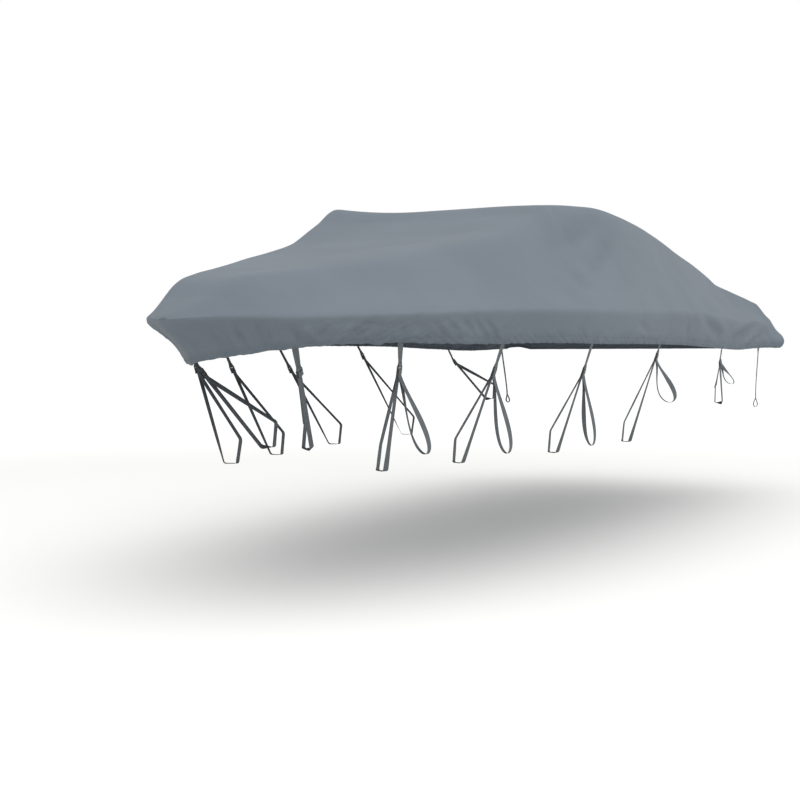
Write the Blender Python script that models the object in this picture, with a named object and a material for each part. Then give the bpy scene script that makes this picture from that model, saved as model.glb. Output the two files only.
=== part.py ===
# A fitted cover for a small runabout, as it sits stretched over the boat: one hollow sheet of
# polyester cloth, and the webbing tie-downs that hang from its hem.
#
# Metres. +X runs aft, +Y to starboard, +Z up. The origin is the point under the top, at the
# middle of the windshield's upper edge, where the boat holds the cover up.
import math

import bmesh
import bpy
import numpy as np
from mathutils import Matrix, Vector

# ---- driving sizes ----
MOUNT_STATION = 2.07  # from the bow tip to the windshield's upper edge
MOUNT_HEIGHT = 1.646  # the underside of the top there, above the ground
SHEET = 0.002  # the cloth
LONGEST_STEP = 0.145  # along the boat, between two sections of the cloth
BOW_STATION = 0.02  # the first section aft of the tip
CROWN_STEPS = (0.0, 0.34, 0.64, 0.87, 1.0)  # shares of the way from the centreline to the shoulder
FLANK_STEPS = (0.12, 0.33, 0.56, 0.79, 1.0)  # and from the shoulder to the gunwale
SKIRT_STEPS = (0.16, 0.38, 0.6, 0.8, 1.0)  # and from the gunwale to the hem
FLANK_SAG = 0.022  # how far the flank draws in between shoulder and gunwale
FLANK_SAG_BEAM = 0.8  # half the width from which the flank has its full sag
CROWN_POWER = 2.5  # how late the crown dips from the centreline to the shoulder
GUNWALE_SHARE = 0.25  # the part of the flank, at the gunwale, that runs straight
FOLD_START = 1.6  # a skirt fold is full from 1 / this share of the way down
CORNER_BULGE = 0.115  # the loose cloth that pokes out at the port stern corner
CORNER_BULGE_STARBOARD = 0.0575
CORNER_REACH = 0.27
CORNER_SHARE = 0.78  # how far down the skirt it is fullest
FADE = 0.75  # half the reach, in shares, over which a crease or a corner's bulge fades out

WEBBING_WIDTH = 0.025
WEBBING = 0.0016  # its thickness
BUCKLE_WIDTH = 0.036
BUCKLE_LENGTH = 0.034
BUCKLE_DEPTH = 0.011
BUCKLE_ROUND = 0.004  # its corners
TAB_LAP = 0.017  # how far a tab runs up inside the hem
HEM_CLEARANCE = 0.007  # how far below the hem a strap may first turn
GAP = 0.0004  # between two pieces that touch
BUCKLE_LEAD = 0.010  # how far webbing runs straight out of a buckle
TAB_TURN = 0.4  # the share of the way to the buckle at which a tab is half turned
STRANDS_OUT = (-0.0012, -0.0036)  # the loop's two strands at the buckle, outboard of its middle
TAIL_OUT = (0.0044, 0.0020)  # and the spare loop's two ends

# ---- the cloth's sections ----
# station: from the bow tip, aft.  beam: half the width at the gunwale crease, crease: its height.
# rail: half the width at the shoulder, shoulder: its height, middle: the height on the centreline.
# lean: how much higher the starboard shoulder is than that, and the port one lower.
# round: the shoulder's softness.  hem: the hem's height, tuck and aft: how far it sits inboard
# and aft of the crease.  curl: below 1 the skirt turns under at once, above 1 it hangs first.
COLUMNS = ("station", "beam", "crease", "rail", "shoulder", "middle", "lean", "round",
           "hem", "tuck", "aft", "curl")
SECTIONS = (
    (0.00, 0.000, 1.046, 0.000, 1.062, 1.062, 0.000, 0.008, 0.905, 0.000, 0.215, 0.95),
    (0.05, 0.100, 1.054, 0.045, 1.098, 1.094, 0.000, 0.014, 0.918, 0.030, 0.200, 0.95),
    (0.15, 0.205, 1.062, 0.105, 1.154, 1.146, 0.000, 0.020, 0.934, 0.060, 0.170, 0.95),
    (0.26, 0.302, 1.068, 0.160, 1.216, 1.204, 0.000, 0.024, 0.948, 0.080, 0.140, 0.95),
    (0.50, 0.470, 1.080, 0.270, 1.260, 1.250, 0.000, 0.034, 0.966, 0.092, 0.090, 0.98),
    (0.75, 0.610, 1.094, 0.370, 1.303, 1.293, 0.000, 0.040, 0.976, 0.088, 0.055, 1.02),
    (1.10, 0.740, 1.118, 0.470, 1.375, 1.360, 0.000, 0.044, 0.974, 0.078, 0.030, 1.15),
    (1.60, 0.860, 1.141, 0.560, 1.474, 1.458, 0.003, 0.036, 0.983, 0.062, 0.010, 1.25),
    (1.90, 0.905, 1.150, 0.580, 1.598, 1.575, 0.012, 0.024, 0.984, 0.056, 0.000, 1.30),
    (2.07, 0.920, 1.154, 0.582, 1.662, 1.640, 0.025, 0.012, 0.984, 0.054, 0.000, 1.30),
    (2.30, 0.935, 1.158, 0.625, 1.672, 1.650, 0.010, 0.020, 0.986, 0.052, 0.000, 1.30),
    (2.60, 0.945, 1.165, 0.665, 1.682, 1.660, 0.004, 0.028, 0.989, 0.050, 0.000, 1.30),
    (3.20, 0.955, 1.178, 0.695, 1.634, 1.626, 0.000, 0.028, 0.991, 0.048, 0.000, 1.30),
    (3.80, 0.960, 1.175, 0.700, 1.554, 1.554, 0.000, 0.024, 0.981, 0.046, 0.000, 1.30),
    (4.40, 0.962, 1.167, 0.710, 1.464, 1.464, 0.000, 0.020, 0.974, 0.044, 0.000, 1.30),
    (4.62, 0.964, 1.163, 0.730, 1.400, 1.402, 0.000, 0.018, 0.978, 0.042, 0.000, 1.25),
    (4.85, 0.966, 1.160, 0.765, 1.376, 1.382, 0.000, 0.018, 0.986, 0.040, 0.000, 1.20),
    (5.10, 0.968, 1.158, 0.835, 1.330, 1.336, 0.000, 0.018, 0.992, 0.034, -0.010, 1.10),
    (5.22, 0.964, 1.164, 0.880, 1.322, 1.328, 0.000, 0.016, 0.990, 0.030, -0.025, 1.10),
    (5.28, 0.935, 1.180, 0.870, 1.300, 1.306, 0.000, 0.016, 0.990, 0.024, -0.040, 1.10),
)

# Soft folds of the skirt.  along: station, at the side that side names (port -1, starboard 1).
# out: how far it stands out, or in where negative.  half: half its length along the hem.
# slant: how far its foot lies aft of its head.
FOLD_COLUMNS = ("along", "side", "out", "half", "slant")
FOLDS = (
    (0.10, -1, 0.006, 0.07, 0.02),
    (0.20, -1, -0.006, 0.08, 0.02),
    (0.42, -1, 0.007, 0.11, 0.10),
    (0.58, -1, -0.006, 0.10, 0.08),
    (0.95, -1, 0.009, 0.14, 0.16),
    (1.45, -1, -0.007, 0.16, -0.10),
    (2.35, -1, 0.008, 0.20, 0.12),
    (3.30, -1, -0.007, 0.22, 0.08),
    (3.72, -1, 0.010, 0.20, 0.14),
    (4.55, -1, 0.012, 0.22, -0.20),
    (4.92, -1, -0.010, 0.16, -0.16),
    (0.14, 1, 0.006, 0.08, 0.02),
    (0.47, 1, -0.006, 0.10, 0.06),
    (0.98, 1, 0.008, 0.15, 0.10),
    (1.55, 1, -0.007, 0.17, 0.10),
    (2.45, 1, 0.008, 0.20, -0.10),
    (3.45, 1, 0.009, 0.24, 0.10),
    (4.60, 1, 0.011, 0.22, -0.14),
)

# Creases of the top, from one point to another.  deep: how far the trough draws in, or a ridge
# stands out where negative.  half: half its width.
CREASE_COLUMNS = ("station_1", "side_1", "station_2", "side_2", "deep", "half")
CREASES = (
    (2.55, -0.66, 1.75, -0.70, 0.010, 0.16),
    (2.95, -0.70, 2.30, -0.86, 0.009, 0.16),
    (4.15, -0.93, 4.95, -0.80, 0.014, 0.16),
    (4.30, -0.90, 4.80, -0.72, -0.010, 0.15),
    (2.60, 0.68, 1.90, 0.82, 0.009, 0.18),
    (4.25, 0.92, 4.95, 0.80, 0.012, 0.18),
)

# ---- the tie-downs ----
# hem: station of the tab.  drop: from the hem to the buckle's top.  lead: how far aft of a straight
# run the buckle lies.  foot_x, foot_y, foot_z: where the loop comes round under the rail it is
# tied to: station, distance outboard and height.  skew: how much further aft the inner strand is.
# tail: how far the spare loop hangs below the buckle, or 0.  spread: its width.  swing: how far
# outboard its foot lies.  turn_1, turn_2: how far its two strands turn from square to the hull.
STRAP_COLUMNS = ("name", "hem", "drop", "lead", "foot_x", "foot_y", "foot_z", "skew",
                 "tail", "spread", "swing", "turn_1", "turn_2")
STRAPS = (
    ("1", 0.31, 0.080, 0.00, 0.76, 0.12, 0.560, 0.03, 0.00, 0.00, 0.00, 0, 0),
    ("2", 0.725, 0.090, 0.01, 0.87, 0.39, 0.475, 0.05, 0.29, 0.07, 0.11, 25, -15),
    ("3", 1.26, 0.096, 0.00, 1.36, 0.49, 0.475, 0.03, 0.31, 0.06, 0.06, 20, 10),
    ("4", 1.95, 0.110, 0.00, 2.09, 0.63, 0.475, 0.04, 0.31, 0.05, 0.04, 15, 30),
    ("5", 2.84, 0.045, 0.00, 2.99, 0.69, 0.475, 0.06, 0.21, 0.09, 0.07, 55, -5),
    ("6", 4.06, 0.075, -0.05, 4.46, 0.82, 0.640, 0.02, 0.10, 0.045, 0.06, 0, 0),
)
RAIL_WIDTH = 0.050  # of the trailer rail that the loops go round
RAIL_HEIGHT = 0.100
RAIL_ROUND = 0.010  # how tightly the webbing goes round its edges
LEAST_STEP = 0.007  # between two cross-sections of the webbing
TAIL_STEPS = 20
TAIL_KICK = 0.007  # how far outboard the spare loop starts
TAIL_STRAND_GAP = 0.0030  # and how much further its first strand does
TAIL_BELLY = 1.4  # how round it hangs
TURN_PLACES = (0.27, 0.73)  # the shares of its length where its strands turn most
TURN_REACH = 0.2

# The stern strap, a single length with an eye sewn at its foot.
STERN_HEM = 4.975
STERN_FOOT = (5.03, 0.90, 0.595)  # station, distance outboard and height
STERN_EYE = 0.060  # its length
STERN_EYE_WIDTH = 0.026
STERN_EYE_LAP = 0.035  # its sewn end


def place(station, side, height):
    """A point of the part, from a station, a distance to starboard and a height above ground."""
    return Vector((station - MOUNT_STATION, side, height - MOUNT_HEIGHT))


def smooth_column(name):
    """The column as a smooth function of the station, with no overshoot between its rows.

    It runs over the station's square root, which makes the bow round in plan.
    """
    at = np.sqrt([row[0] for row in SECTIONS])
    values = np.array([row[COLUMNS.index(name)] for row in SECTIONS])
    steps = np.diff(at)
    rises = np.diff(values) / steps
    slopes = np.concatenate([rises[:1], np.zeros(len(at) - 2), rises[-1:]])
    for k in range(1, len(at) - 1):
        if rises[k - 1] * rises[k] > 0:
            before, after = 2 * steps[k] + steps[k - 1], steps[k] + 2 * steps[k - 1]
            slopes[k] = (before + after) / (before / rises[k - 1] + after / rises[k])

    def read(station):
        root = math.sqrt(min(max(station, 0.0), SECTIONS[-1][0]))
        k = int(min(max(np.searchsorted(at, root) - 1, 0), len(steps) - 1))
        t = (root - at[k]) / steps[k]
        start = (1 + 2 * t) * (1 - t) ** 2 * values[k] + t * (1 - t) ** 2 * steps[k] * slopes[k]
        end = t * t * (3 - 2 * t) * values[k + 1] - t * t * (1 - t) * steps[k] * slopes[k + 1]
        return float(start + end)

    return read


COLUMN = {name: smooth_column(name) for name in COLUMNS}


def bump(distance, half):
    """A soft bump, 1 in the middle and 0 from half onwards."""
    return math.cos(math.pi / 2 * min(abs(distance) / half, 1.0)) ** 2


def crease_depth(station, side):
    """How far the top's creases draw in at a point in plan."""
    depth = 0.0
    for row in CREASES:
        crease = dict(zip(CREASE_COLUMNS, row))
        start = Vector((crease["station_1"], crease["side_1"]))
        run = Vector((crease["station_2"], crease["side_2"])) - start
        offset = Vector((station, side)) - start
        share = min(max(offset.dot(run) / run.length_squared, 0.0), 1.0)
        fade = bump(share - 0.5, FADE)
        depth += crease["deep"] * fade * bump((offset - share * run).length, crease["half"])
    return depth


def top_height(station, side):
    """The height of the top above the ground, between the two gunwale creases."""
    beam, rail = COLUMN["beam"](station), COLUMN["rail"](station)
    if not beam:
        return COLUMN["crease"](station)
    half = min(abs(side), beam)
    lean = math.copysign(COLUMN["lean"](station), side)
    shoulder = COLUMN["shoulder"](station) + lean
    middle = COLUMN["middle"](station)
    crown = middle + (shoulder - middle) * (half / rail) ** CROWN_POWER
    share = (beam - half) / (beam - rail)
    sag = FLANK_SAG * math.sin(math.pi * min(share, 1.0)) * min(beam / FLANK_SAG_BEAM, 1.0)
    flank = COLUMN["crease"](station) + (shoulder - COLUMN["crease"](station)) * share - sag
    soft = COLUMN["round"](station)
    blended = min(crown, flank) - soft * math.log1p(math.exp(-abs(crown - flank) / soft))
    height = blended + bump(share, GUNWALE_SHARE) * (flank - blended)
    return height - crease_depth(station, side) * min(share / GUNWALE_SHARE, 1.0)


def section_stations():
    """The stations of the cloth's sections: the table's, the tabs' and those between them."""
    fixed = {row[0] for row in SECTIONS} | {row[1] for row in STRAPS} | {BOW_STATION, STERN_HEM}
    fixed = sorted(fixed)
    stations = [fixed[0]]
    for start, end in zip(fixed, fixed[1:]):
        count = math.ceil((end - start) / LONGEST_STEP)
        stations += [start + (end - start) * k / count for k in range(1, count + 1)]
    return stations


def lateral_steps():
    """The section's columns from port to starboard, as (side sign, part, share)."""
    half = [("crown", share) for share in CROWN_STEPS] + [("flank", share) for share in FLANK_STEPS]
    port = [(-1, part, share) for part, share in reversed(half[1:])]
    return port + [(1, part, share) for part, share in half]


def across(station, sign, part, share):
    """The distance to starboard of one column at a station."""
    beam, rail = COLUMN["beam"](station), COLUMN["rail"](station)
    return sign * (rail * share if part == "crown" else rail + (beam - rail) * share)


def skirt_fold(station, side, share):
    """How far the skirt stands out from its plain run at a share of the way to the hem."""
    out = 0.0
    for row in FOLDS:
        fold = dict(zip(FOLD_COLUMNS, row))
        if fold["side"] * side > 0:
            middle = fold["along"] + fold["slant"] * (share - 0.5)
            full = min(share * FOLD_START, 1.0)
            out += fold["out"] * bump(station - middle, fold["half"]) * full
    return out


def skirt_point(crease, hem, outward, share, station, side):
    """A point of the skirt, share of the way from the crease to the hem."""
    curl = COLUMN["curl"](station)
    point = crease.lerp(hem, share)
    inboard = share**curl - share
    point += Vector((hem.x - crease.x, hem.y - crease.y, 0.0)) * inboard
    out = skirt_fold(station, side, share)
    corner = math.hypot(station - SECTIONS[-1][0], abs(side) - SECTIONS[-1][1])
    fullness = CORNER_BULGE if side < 0 else CORNER_BULGE_STARBOARD
    out += fullness * bump(corner, CORNER_REACH) * bump(share - CORNER_SHARE, FADE)
    return point + outward * out


def hem_point(station, side):
    """The hem below the crease at a station and a distance to starboard."""
    tuck = COLUMN["tuck"](station)
    beam = COLUMN["beam"](station)
    inboard = side * (1 - tuck / beam) if beam else 0.0
    return place(station + COLUMN["aft"](station), inboard, COLUMN["hem"](station))


def cover_mesh():
    """The cloth's outer face, and the hem's points with those above them, by station and side.

    The face is the top between the gunwales, and the skirt below it all round.
    """
    stations, columns = section_stations(), lateral_steps()
    mesh = bmesh.new()
    tip = mesh.verts.new(place(0.0, 0.0, COLUMN["crease"](0.0)))
    rows = [[tip] * len(columns)]
    plan = {tip: (0.0, 0.0)}
    for station in stations[1:]:
        row = []
        for column in columns:
            side = across(station, *column)
            vert = mesh.verts.new(place(station, side, top_height(station, side)))
            plan[vert] = (station, side)
            row.append(vert)
        rows.append(row)
    for near, far in zip(rows, rows[1:]):
        for k in range(len(columns) - 1):
            corners = [near[k], far[k], far[k + 1], near[k + 1]]
            mesh.faces.new(list(dict.fromkeys(corners)))
    ring = [row[0] for row in rows] + rows[-1][1:-1] + [row[-1] for row in reversed(rows[1:])]
    skirts = [ring]
    places = [vert.co.copy() for vert in ring]
    for share in SKIRT_STEPS:
        level = []
        for k, vert in enumerate(ring):
            station, side = plan[vert]
            along = places[(k + 1) % len(ring)] - places[k - 1]
            outward = Vector((along.y, -along.x, 0.0)).normalized()
            hem = hem_point(station, side)
            level.append(mesh.verts.new(
                skirt_point(vert.co, hem, outward, share, station, side)))
        skirts.append(level)
    for upper, lower in zip(skirts, skirts[1:]):
        for k in range(len(ring)):
            after = (k + 1) % len(ring)
            mesh.faces.new([upper[k], lower[k], lower[after], upper[after]])
    bmesh.ops.recalc_face_normals(mesh, faces=mesh.faces)
    hems = {}
    for k, vert in enumerate(ring):
        station, side = plan[vert]
        hem = skirts[-1][k].co.copy()
        before = (hem - skirts[-1][k - 1].co).normalized()
        after = (skirts[-1][(k + 1) % len(ring)].co - hem).normalized()
        bend = math.copysign(before.angle(after), before.cross(after).z)
        inset = SHEET + GAP + WEBBING / 2 + WEBBING_WIDTH / 2 * max(math.tan(bend / 2), 0.0)
        hems[round(station, 4), math.copysign(1, side)] = (
            hem, skirts[-2][k].co.copy(), (before + after).normalized(), inset)
    return mesh, hems


def material(name, colour, roughness):
    """A plain matt material."""
    made = bpy.data.materials.new(name)
    made.use_nodes = True
    shader = made.node_tree.nodes["Principled BSDF"]
    shader.inputs["Base Color"].default_value = (*colour, 1.0)
    shader.inputs["Roughness"].default_value = roughness
    return made


def add_object(name, mesh, finish):
    """A new object from a bmesh, with its material."""
    data = bpy.data.meshes.new(name)
    mesh.to_mesh(data)
    mesh.free()
    data.materials.append(finish)
    made = bpy.data.objects.new(name, data)
    bpy.context.collection.objects.link(made)
    return made


def add_cover(mesh, finish):
    """The cover: its outer face thickened inwards."""
    cover = add_object("cover", mesh, finish)
    thicken = cover.modifiers.new("cloth", "SOLIDIFY")
    thicken.thickness = SHEET
    thicken.offset = -1.0
    thicken.use_even_offset = True
    return cover


def add_ribbon(name, points, width_axes, finish):
    """Webbing along points, its width along the matching axis at each."""
    mesh = bmesh.new()
    rings = []
    for k, point in enumerate(points):
        run = (points[min(k + 1, len(points) - 1)] - points[max(k - 1, 0)]).normalized()
        wide = (width_axes[k] - run * width_axes[k].dot(run)).normalized()
        thin = run.cross(wide)
        half_wide, half_thin = wide * WEBBING_WIDTH / 2, thin * WEBBING / 2
        corners = (half_wide + half_thin, half_thin - half_wide,
                   -half_wide - half_thin, half_wide - half_thin)
        rings.append([mesh.verts.new(point + corner) for corner in corners])
    for near, far in zip(rings, rings[1:]):
        # the same diagonal on both faces, so that a twist leaves them apart
        for k, after in ((0, 1), (3, 2), (1, 2), (3, 0)):
            mesh.faces.new([near[k], near[after], far[after]])
            mesh.faces.new([near[k], far[after], far[k]])
    mesh.faces.new(rings[0][::-1])
    mesh.faces.new(rings[-1])
    bmesh.ops.recalc_face_normals(mesh, faces=mesh.faces)
    return add_object(name, mesh, finish)


def add_buckle(name, middle, down, wide, finish):
    """A ladder-lock buckle as a plain block with eased edges."""
    mesh = bmesh.new()
    bmesh.ops.create_cube(mesh, size=1.0)
    bmesh.ops.scale(mesh, vec=(BUCKLE_WIDTH, BUCKLE_DEPTH, BUCKLE_LENGTH), verts=mesh.verts)
    upright = [edge for edge in mesh.edges
               if abs((edge.verts[0].co - edge.verts[1].co).y) > BUCKLE_DEPTH / 2]
    bmesh.ops.bevel(mesh, geom=upright, offset=BUCKLE_ROUND, segments=2, profile=0.5, affect="EDGES")
    turn = Matrix((wide, down.cross(wide), -down)).transposed()
    bmesh.ops.transform(mesh, matrix=Matrix.Translation(middle) @ turn.to_4x4(), verts=mesh.verts)
    bmesh.ops.recalc_face_normals(mesh, faces=mesh.faces)
    return add_object(name, mesh, finish)


def rounded(points, radius, steps=2):
    """The points with each inner corner replaced by a short arc."""
    path = [points[0]]
    for before, corner, after in zip(points, points[1:], points[2:]):
        start = corner + (before - corner).normalized() * radius
        end = corner + (after - corner).normalized() * radius
        for k in range(steps + 1):
            share = k / steps
            path.append(start.lerp(corner, share).lerp(corner.lerp(end, share), share))
    return path + [points[-1]]


def thinned(points, axes, least):
    """The points and their axes, less those nearer than the least to the one before, but for the ends."""
    kept = [0, 1]
    for k in range(2, len(points) - 2):
        if min((points[k] - points[kept[-1]]).length, (points[k] - points[-2]).length) >= least:
            kept.append(k)
    kept += [len(points) - 2, len(points) - 1]
    return [points[k] for k in kept], [axes[k] for k in kept]


def flat_axes(path, anchors):
    """The width's direction at each point, from that at the anchors by their nearness."""
    axes = []
    for point in path:
        axis = Vector()
        for anchor, direction in anchors:
            axis += direction / ((point - anchor).length + 1e-4) ** 3
        axes.append(axis.normalized())
    return axes


def bend_axis(before, corner, after):
    """The width's direction that lets webbing bend at the corner without creasing its edge."""
    axis = (corner - before).cross(after - corner).normalized()
    return axis * math.copysign(1, axis.x)


def strap_name(sign, number):
    """The name of a tie-down's nodes."""
    return ("port" if sign < 0 else "starboard") + "_strap_" + number


def hem_seat(station, sign, hems):
    """Where webbing is sewn inside the hem, and the cloth's ways up and along there."""
    hem, above, along, inset = hems[round(station, 4), sign]
    up = (above - hem).normalized()
    inward = up.cross(along).normalized()
    inward *= -math.copysign(1, inward.y * sign)
    return hem + inward * inset, up, along


def add_strap(strap, sign, hems, webbing, plastic):
    """One tie-down: the tab sewn inside the hem, the buckle, the loop and the spare tail."""
    name = strap_name(sign, strap["name"])
    seat, up, along = hem_seat(strap["hem"], sign, hems)
    foot = place(strap["foot_x"], sign * strap["foot_y"], strap["foot_z"])
    down = (foot - seat).normalized()
    top = seat + down * strap["drop"] / -down.z + Vector((strap["lead"], 0.0, 0.0))
    down = (foot - top).normalized()
    wide = (Vector((1, 0, 0)) - down * down.x).normalized()
    out = Vector((0, sign, 0))
    out = (out - down * out.dot(down) - wide * out.dot(wide)).normalized()
    clear = seat - up * HEM_CLEARANCE
    facing = along * math.copysign(1, along.x)
    add_ribbon(name + "_tab", [seat + up * TAB_LAP, clear, clear.lerp(top, TAB_TURN),
                               top - down * BUCKLE_LEAD, top - down * GAP],
               [facing, facing, facing.lerp(wide, 0.5), wide, wide], webbing)
    add_buckle(name + "_buckle", top + down * BUCKLE_LENGTH / 2, down, wide, plastic)
    bottom = top + down * (BUCKLE_LENGTH + GAP)
    inner = foot - Vector((0, sign * RAIL_WIDTH, 0))
    skew = Vector((strap["skew"], 0, 0))
    start, end = (bottom + out * offset for offset in STRANDS_OUT)
    lead = down * BUCKLE_LEAD
    corners = [start + lead, foot, inner + skew / 2,
               inner + skew + Vector((0, 0, RAIL_HEIGHT)), end + lead]
    path = [start] + rounded(corners, RAIL_ROUND) + [end]
    level = Vector((1, 0, 0))
    anchors = [(start + lead, wide), (foot, bend_axis(*corners[:3])), (corners[2], level),
               (corners[3], level), (end + lead, wide)]
    path, axes = thinned(path, flat_axes(path, anchors), LEAST_STEP)
    add_ribbon(name + "_loop", path, axes, webbing)
    if strap["tail"] and sign < 0:
        path, axes = tail_path(strap, bottom, lead, wide, out, sign)
        add_ribbon(name + "_tail", path, axes, webbing)


def tail_path(strap, bottom, lead, wide, out, sign):
    """The spare webbing's hanging loop: its points and the way its width runs at each."""
    first, last = (bottom + out * offset for offset in TAIL_OUT)
    path, axes = [first], [wide]
    for k in range(TAIL_STEPS + 1):
        u = k / TAIL_STEPS
        hang = math.sin(math.pi * u) ** 2
        belly = TAIL_BELLY * math.sin(2 * math.pi * u) * hang * strap["spread"] / 2
        aside = Vector((0, sign * (strap["swing"] * hang + belly), -strap["tail"] * hang))
        path.append(bottom + out * (TAIL_KICK + TAIL_STRAND_GAP * (1 - u)) + lead + aside)
        turn = sum(math.radians(strap[key]) * bump(u - middle, TURN_REACH)
                   for key, middle in zip(("turn_1", "turn_2"), TURN_PLACES))
        turned = Vector((math.cos(turn), math.sin(turn) * sign, 0))
        axes.append(wide.lerp(turned, min(hang * 2, 1.0)))
    return thinned(path + [last], axes + [wide], LEAST_STEP)


def add_stern_strap(sign, hems, webbing):
    """The last strap on each side: one length, turned back on itself in an eye at its foot."""
    seat, up, along = hem_seat(STERN_HEM, sign, hems)
    station, side, height = STERN_FOOT
    foot = place(station, sign * side, height)
    down = (foot - seat).normalized()
    out = Vector((0, sign, 0))
    neck = foot - down * STERN_EYE
    belly = out * STERN_EYE_WIDTH / 2
    back = -out * (WEBBING + GAP)
    clear = seat - up * HEM_CLEARANCE
    path = [seat + up * TAB_LAP, clear, clear.lerp(neck, 0.1), neck]
    path += [neck.lerp(foot, 0.35) + belly * 0.6, neck.lerp(foot, 0.75) + belly, foot]
    path += [neck.lerp(foot, 0.75) - belly, neck.lerp(foot, 0.35) - belly * 0.6 + back]
    path += [neck + back, neck + back - down * STERN_EYE_LAP]
    axes = [along * math.copysign(1, along.x)] * 2 + [Vector((1, 0, 0))] * (len(path) - 2)
    add_ribbon(strap_name(sign, "7"), path, axes, webbing)


for leftover in list(bpy.data.objects):
    bpy.data.objects.remove(leftover)

cloth = material("polyester cloth", (0.235, 0.275, 0.305), 0.85)
webbing_finish = material("polypropylene webbing", (0.105, 0.115, 0.125), 0.8)
buckle_finish = material("acetal plastic", (0.03, 0.03, 0.032), 0.45)

outer_face, hem_points = cover_mesh()
add_cover(outer_face, cloth)
for side_sign in (-1, 1):
    for values in STRAPS:
        add_strap(dict(zip(STRAP_COLUMNS, values)), side_sign, hem_points,
                  webbing_finish, buckle_finish)
    add_stern_strap(side_sign, hem_points, webbing_finish)
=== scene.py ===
import math

import bmesh
import bpy
import numpy as np
from mathutils import Matrix, Vector, noise
from mathutils.bvhtree import BVHTree


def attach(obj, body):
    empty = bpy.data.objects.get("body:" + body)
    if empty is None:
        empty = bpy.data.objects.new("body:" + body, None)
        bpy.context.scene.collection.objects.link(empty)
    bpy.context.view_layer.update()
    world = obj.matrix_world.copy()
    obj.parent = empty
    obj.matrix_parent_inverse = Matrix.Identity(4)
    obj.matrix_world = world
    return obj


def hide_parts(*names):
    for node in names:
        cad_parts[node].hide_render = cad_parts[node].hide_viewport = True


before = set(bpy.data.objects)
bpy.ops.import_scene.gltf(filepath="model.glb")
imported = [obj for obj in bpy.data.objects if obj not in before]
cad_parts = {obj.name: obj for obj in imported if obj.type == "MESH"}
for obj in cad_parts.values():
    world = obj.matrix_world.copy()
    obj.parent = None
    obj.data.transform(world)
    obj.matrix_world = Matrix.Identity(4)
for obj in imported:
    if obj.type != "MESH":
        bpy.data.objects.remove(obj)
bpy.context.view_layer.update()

# Metres, +X aft, +Y to starboard, +Z up. The origin is under the top at the windshield's upper edge.
mountStation = 2.07  # from the bow tip to that edge
mountHeight = 1.646  # from the ground up to it
body = "root"

# The camera stands off the port bow, at the eye height of someone crouching.
cameraSetup = {
    "place": (-5.349, -2.716, -0.734),
    "lookAlong": (0.8781, 0.4786, -0.03315),
    "lens": 54.84,  # mm, on a 36 mm sensor
}


def addCamera(setup):
    data = bpy.data.cameras.new("camera")
    data.lens = setup["lens"]
    data.clip_end = 200.0
    camera = bpy.data.objects.new("camera", data)
    camera.location = setup["place"]
    camera.rotation_euler = Vector(setup["lookAlong"]).to_track_quat("-Z", "Y").to_euler()
    bpy.context.collection.objects.link(camera)
    bpy.context.scene.camera = camera


addCamera(cameraSetup)
print("camera placed")


def bump(distance, half):  # 1 in the middle, 0 from half outwards
    return np.cos(np.pi / 2 * np.minimum(np.abs(distance) / half, 1.0)) ** 2


def place(station, side, height):
    return Vector((station - mountStation, side, height - mountHeight))


def newObject(name, verts, faces, material):
    mesh = bpy.data.meshes.new(name)
    mesh.from_pydata([tuple(v) for v in verts], [], [tuple(f) for f in faces])
    mesh.materials.append(material)
    mesh.shade_smooth()
    made = bpy.data.objects.new(name, mesh)
    bpy.context.collection.objects.link(made)
    return made


def bakeModifiers(source, name):  # leaves a plain mesh of what the modifiers give
    graph = bpy.context.evaluated_depsgraph_get()
    mesh = bpy.data.meshes.new_from_object(source.evaluated_get(graph))
    old = source.data
    source.modifiers.clear()
    source.data = mesh
    mesh.name = name
    if old.users == 0:
        bpy.data.meshes.remove(old)


def linearColour(hexColour):  # from an sRGB hex value to linear, with alpha
    parts = [int(hexColour[k:k + 2], 16) / 255 for k in (1, 3, 5)]
    return (*[p / 12.92 if p <= 0.04045 else ((p + 0.055) / 1.055) ** 2.4 for p in parts], 1.0)


def setInputs(tree, made, inputs):  # links the sockets given to a node and sets the values given
    for key, value in inputs.items():
        if isinstance(value, bpy.types.NodeSocket):
            tree.links.new(value, made.inputs[key])
        else:
            made.inputs[key].default_value = value


def node(tree, kind, inputs=(), **settings):  # a Mix node's colours are inputs 6 and 7 and output 2
    made = tree.nodes.new(kind)
    for key, value in settings.items():
        setattr(made, key, value)
    setInputs(tree, made, dict(inputs))
    return made


def newMaterial(name):
    made = bpy.data.materials.new(name)
    made.use_nodes = True
    return made, made.node_tree, made.node_tree.nodes["Principled BSDF"]


def weave(tree, uv, pitchU, pitchV):  # threads over and under each other, 0 to 1
    split = node(tree, "ShaderNodeSeparateXYZ", {0: uv})
    waves = []
    for axis, pitch in ((0, pitchU), (1, pitchV)):
        turns = node(tree, "ShaderNodeMath", {0: split.outputs[axis], 1: 2 * math.pi / pitch},
                     operation="MULTIPLY")
        waves.append(node(tree, "ShaderNodeMath", {0: turns.outputs[0]}, operation="SINE").outputs[0])
    both = node(tree, "ShaderNodeMath", {0: waves[0], 1: waves[1]}, operation="MULTIPLY")
    return node(tree, "ShaderNodeMapRange", {0: both.outputs[0], 1: -1.0, 2: 1.0}).outputs[0]


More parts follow.
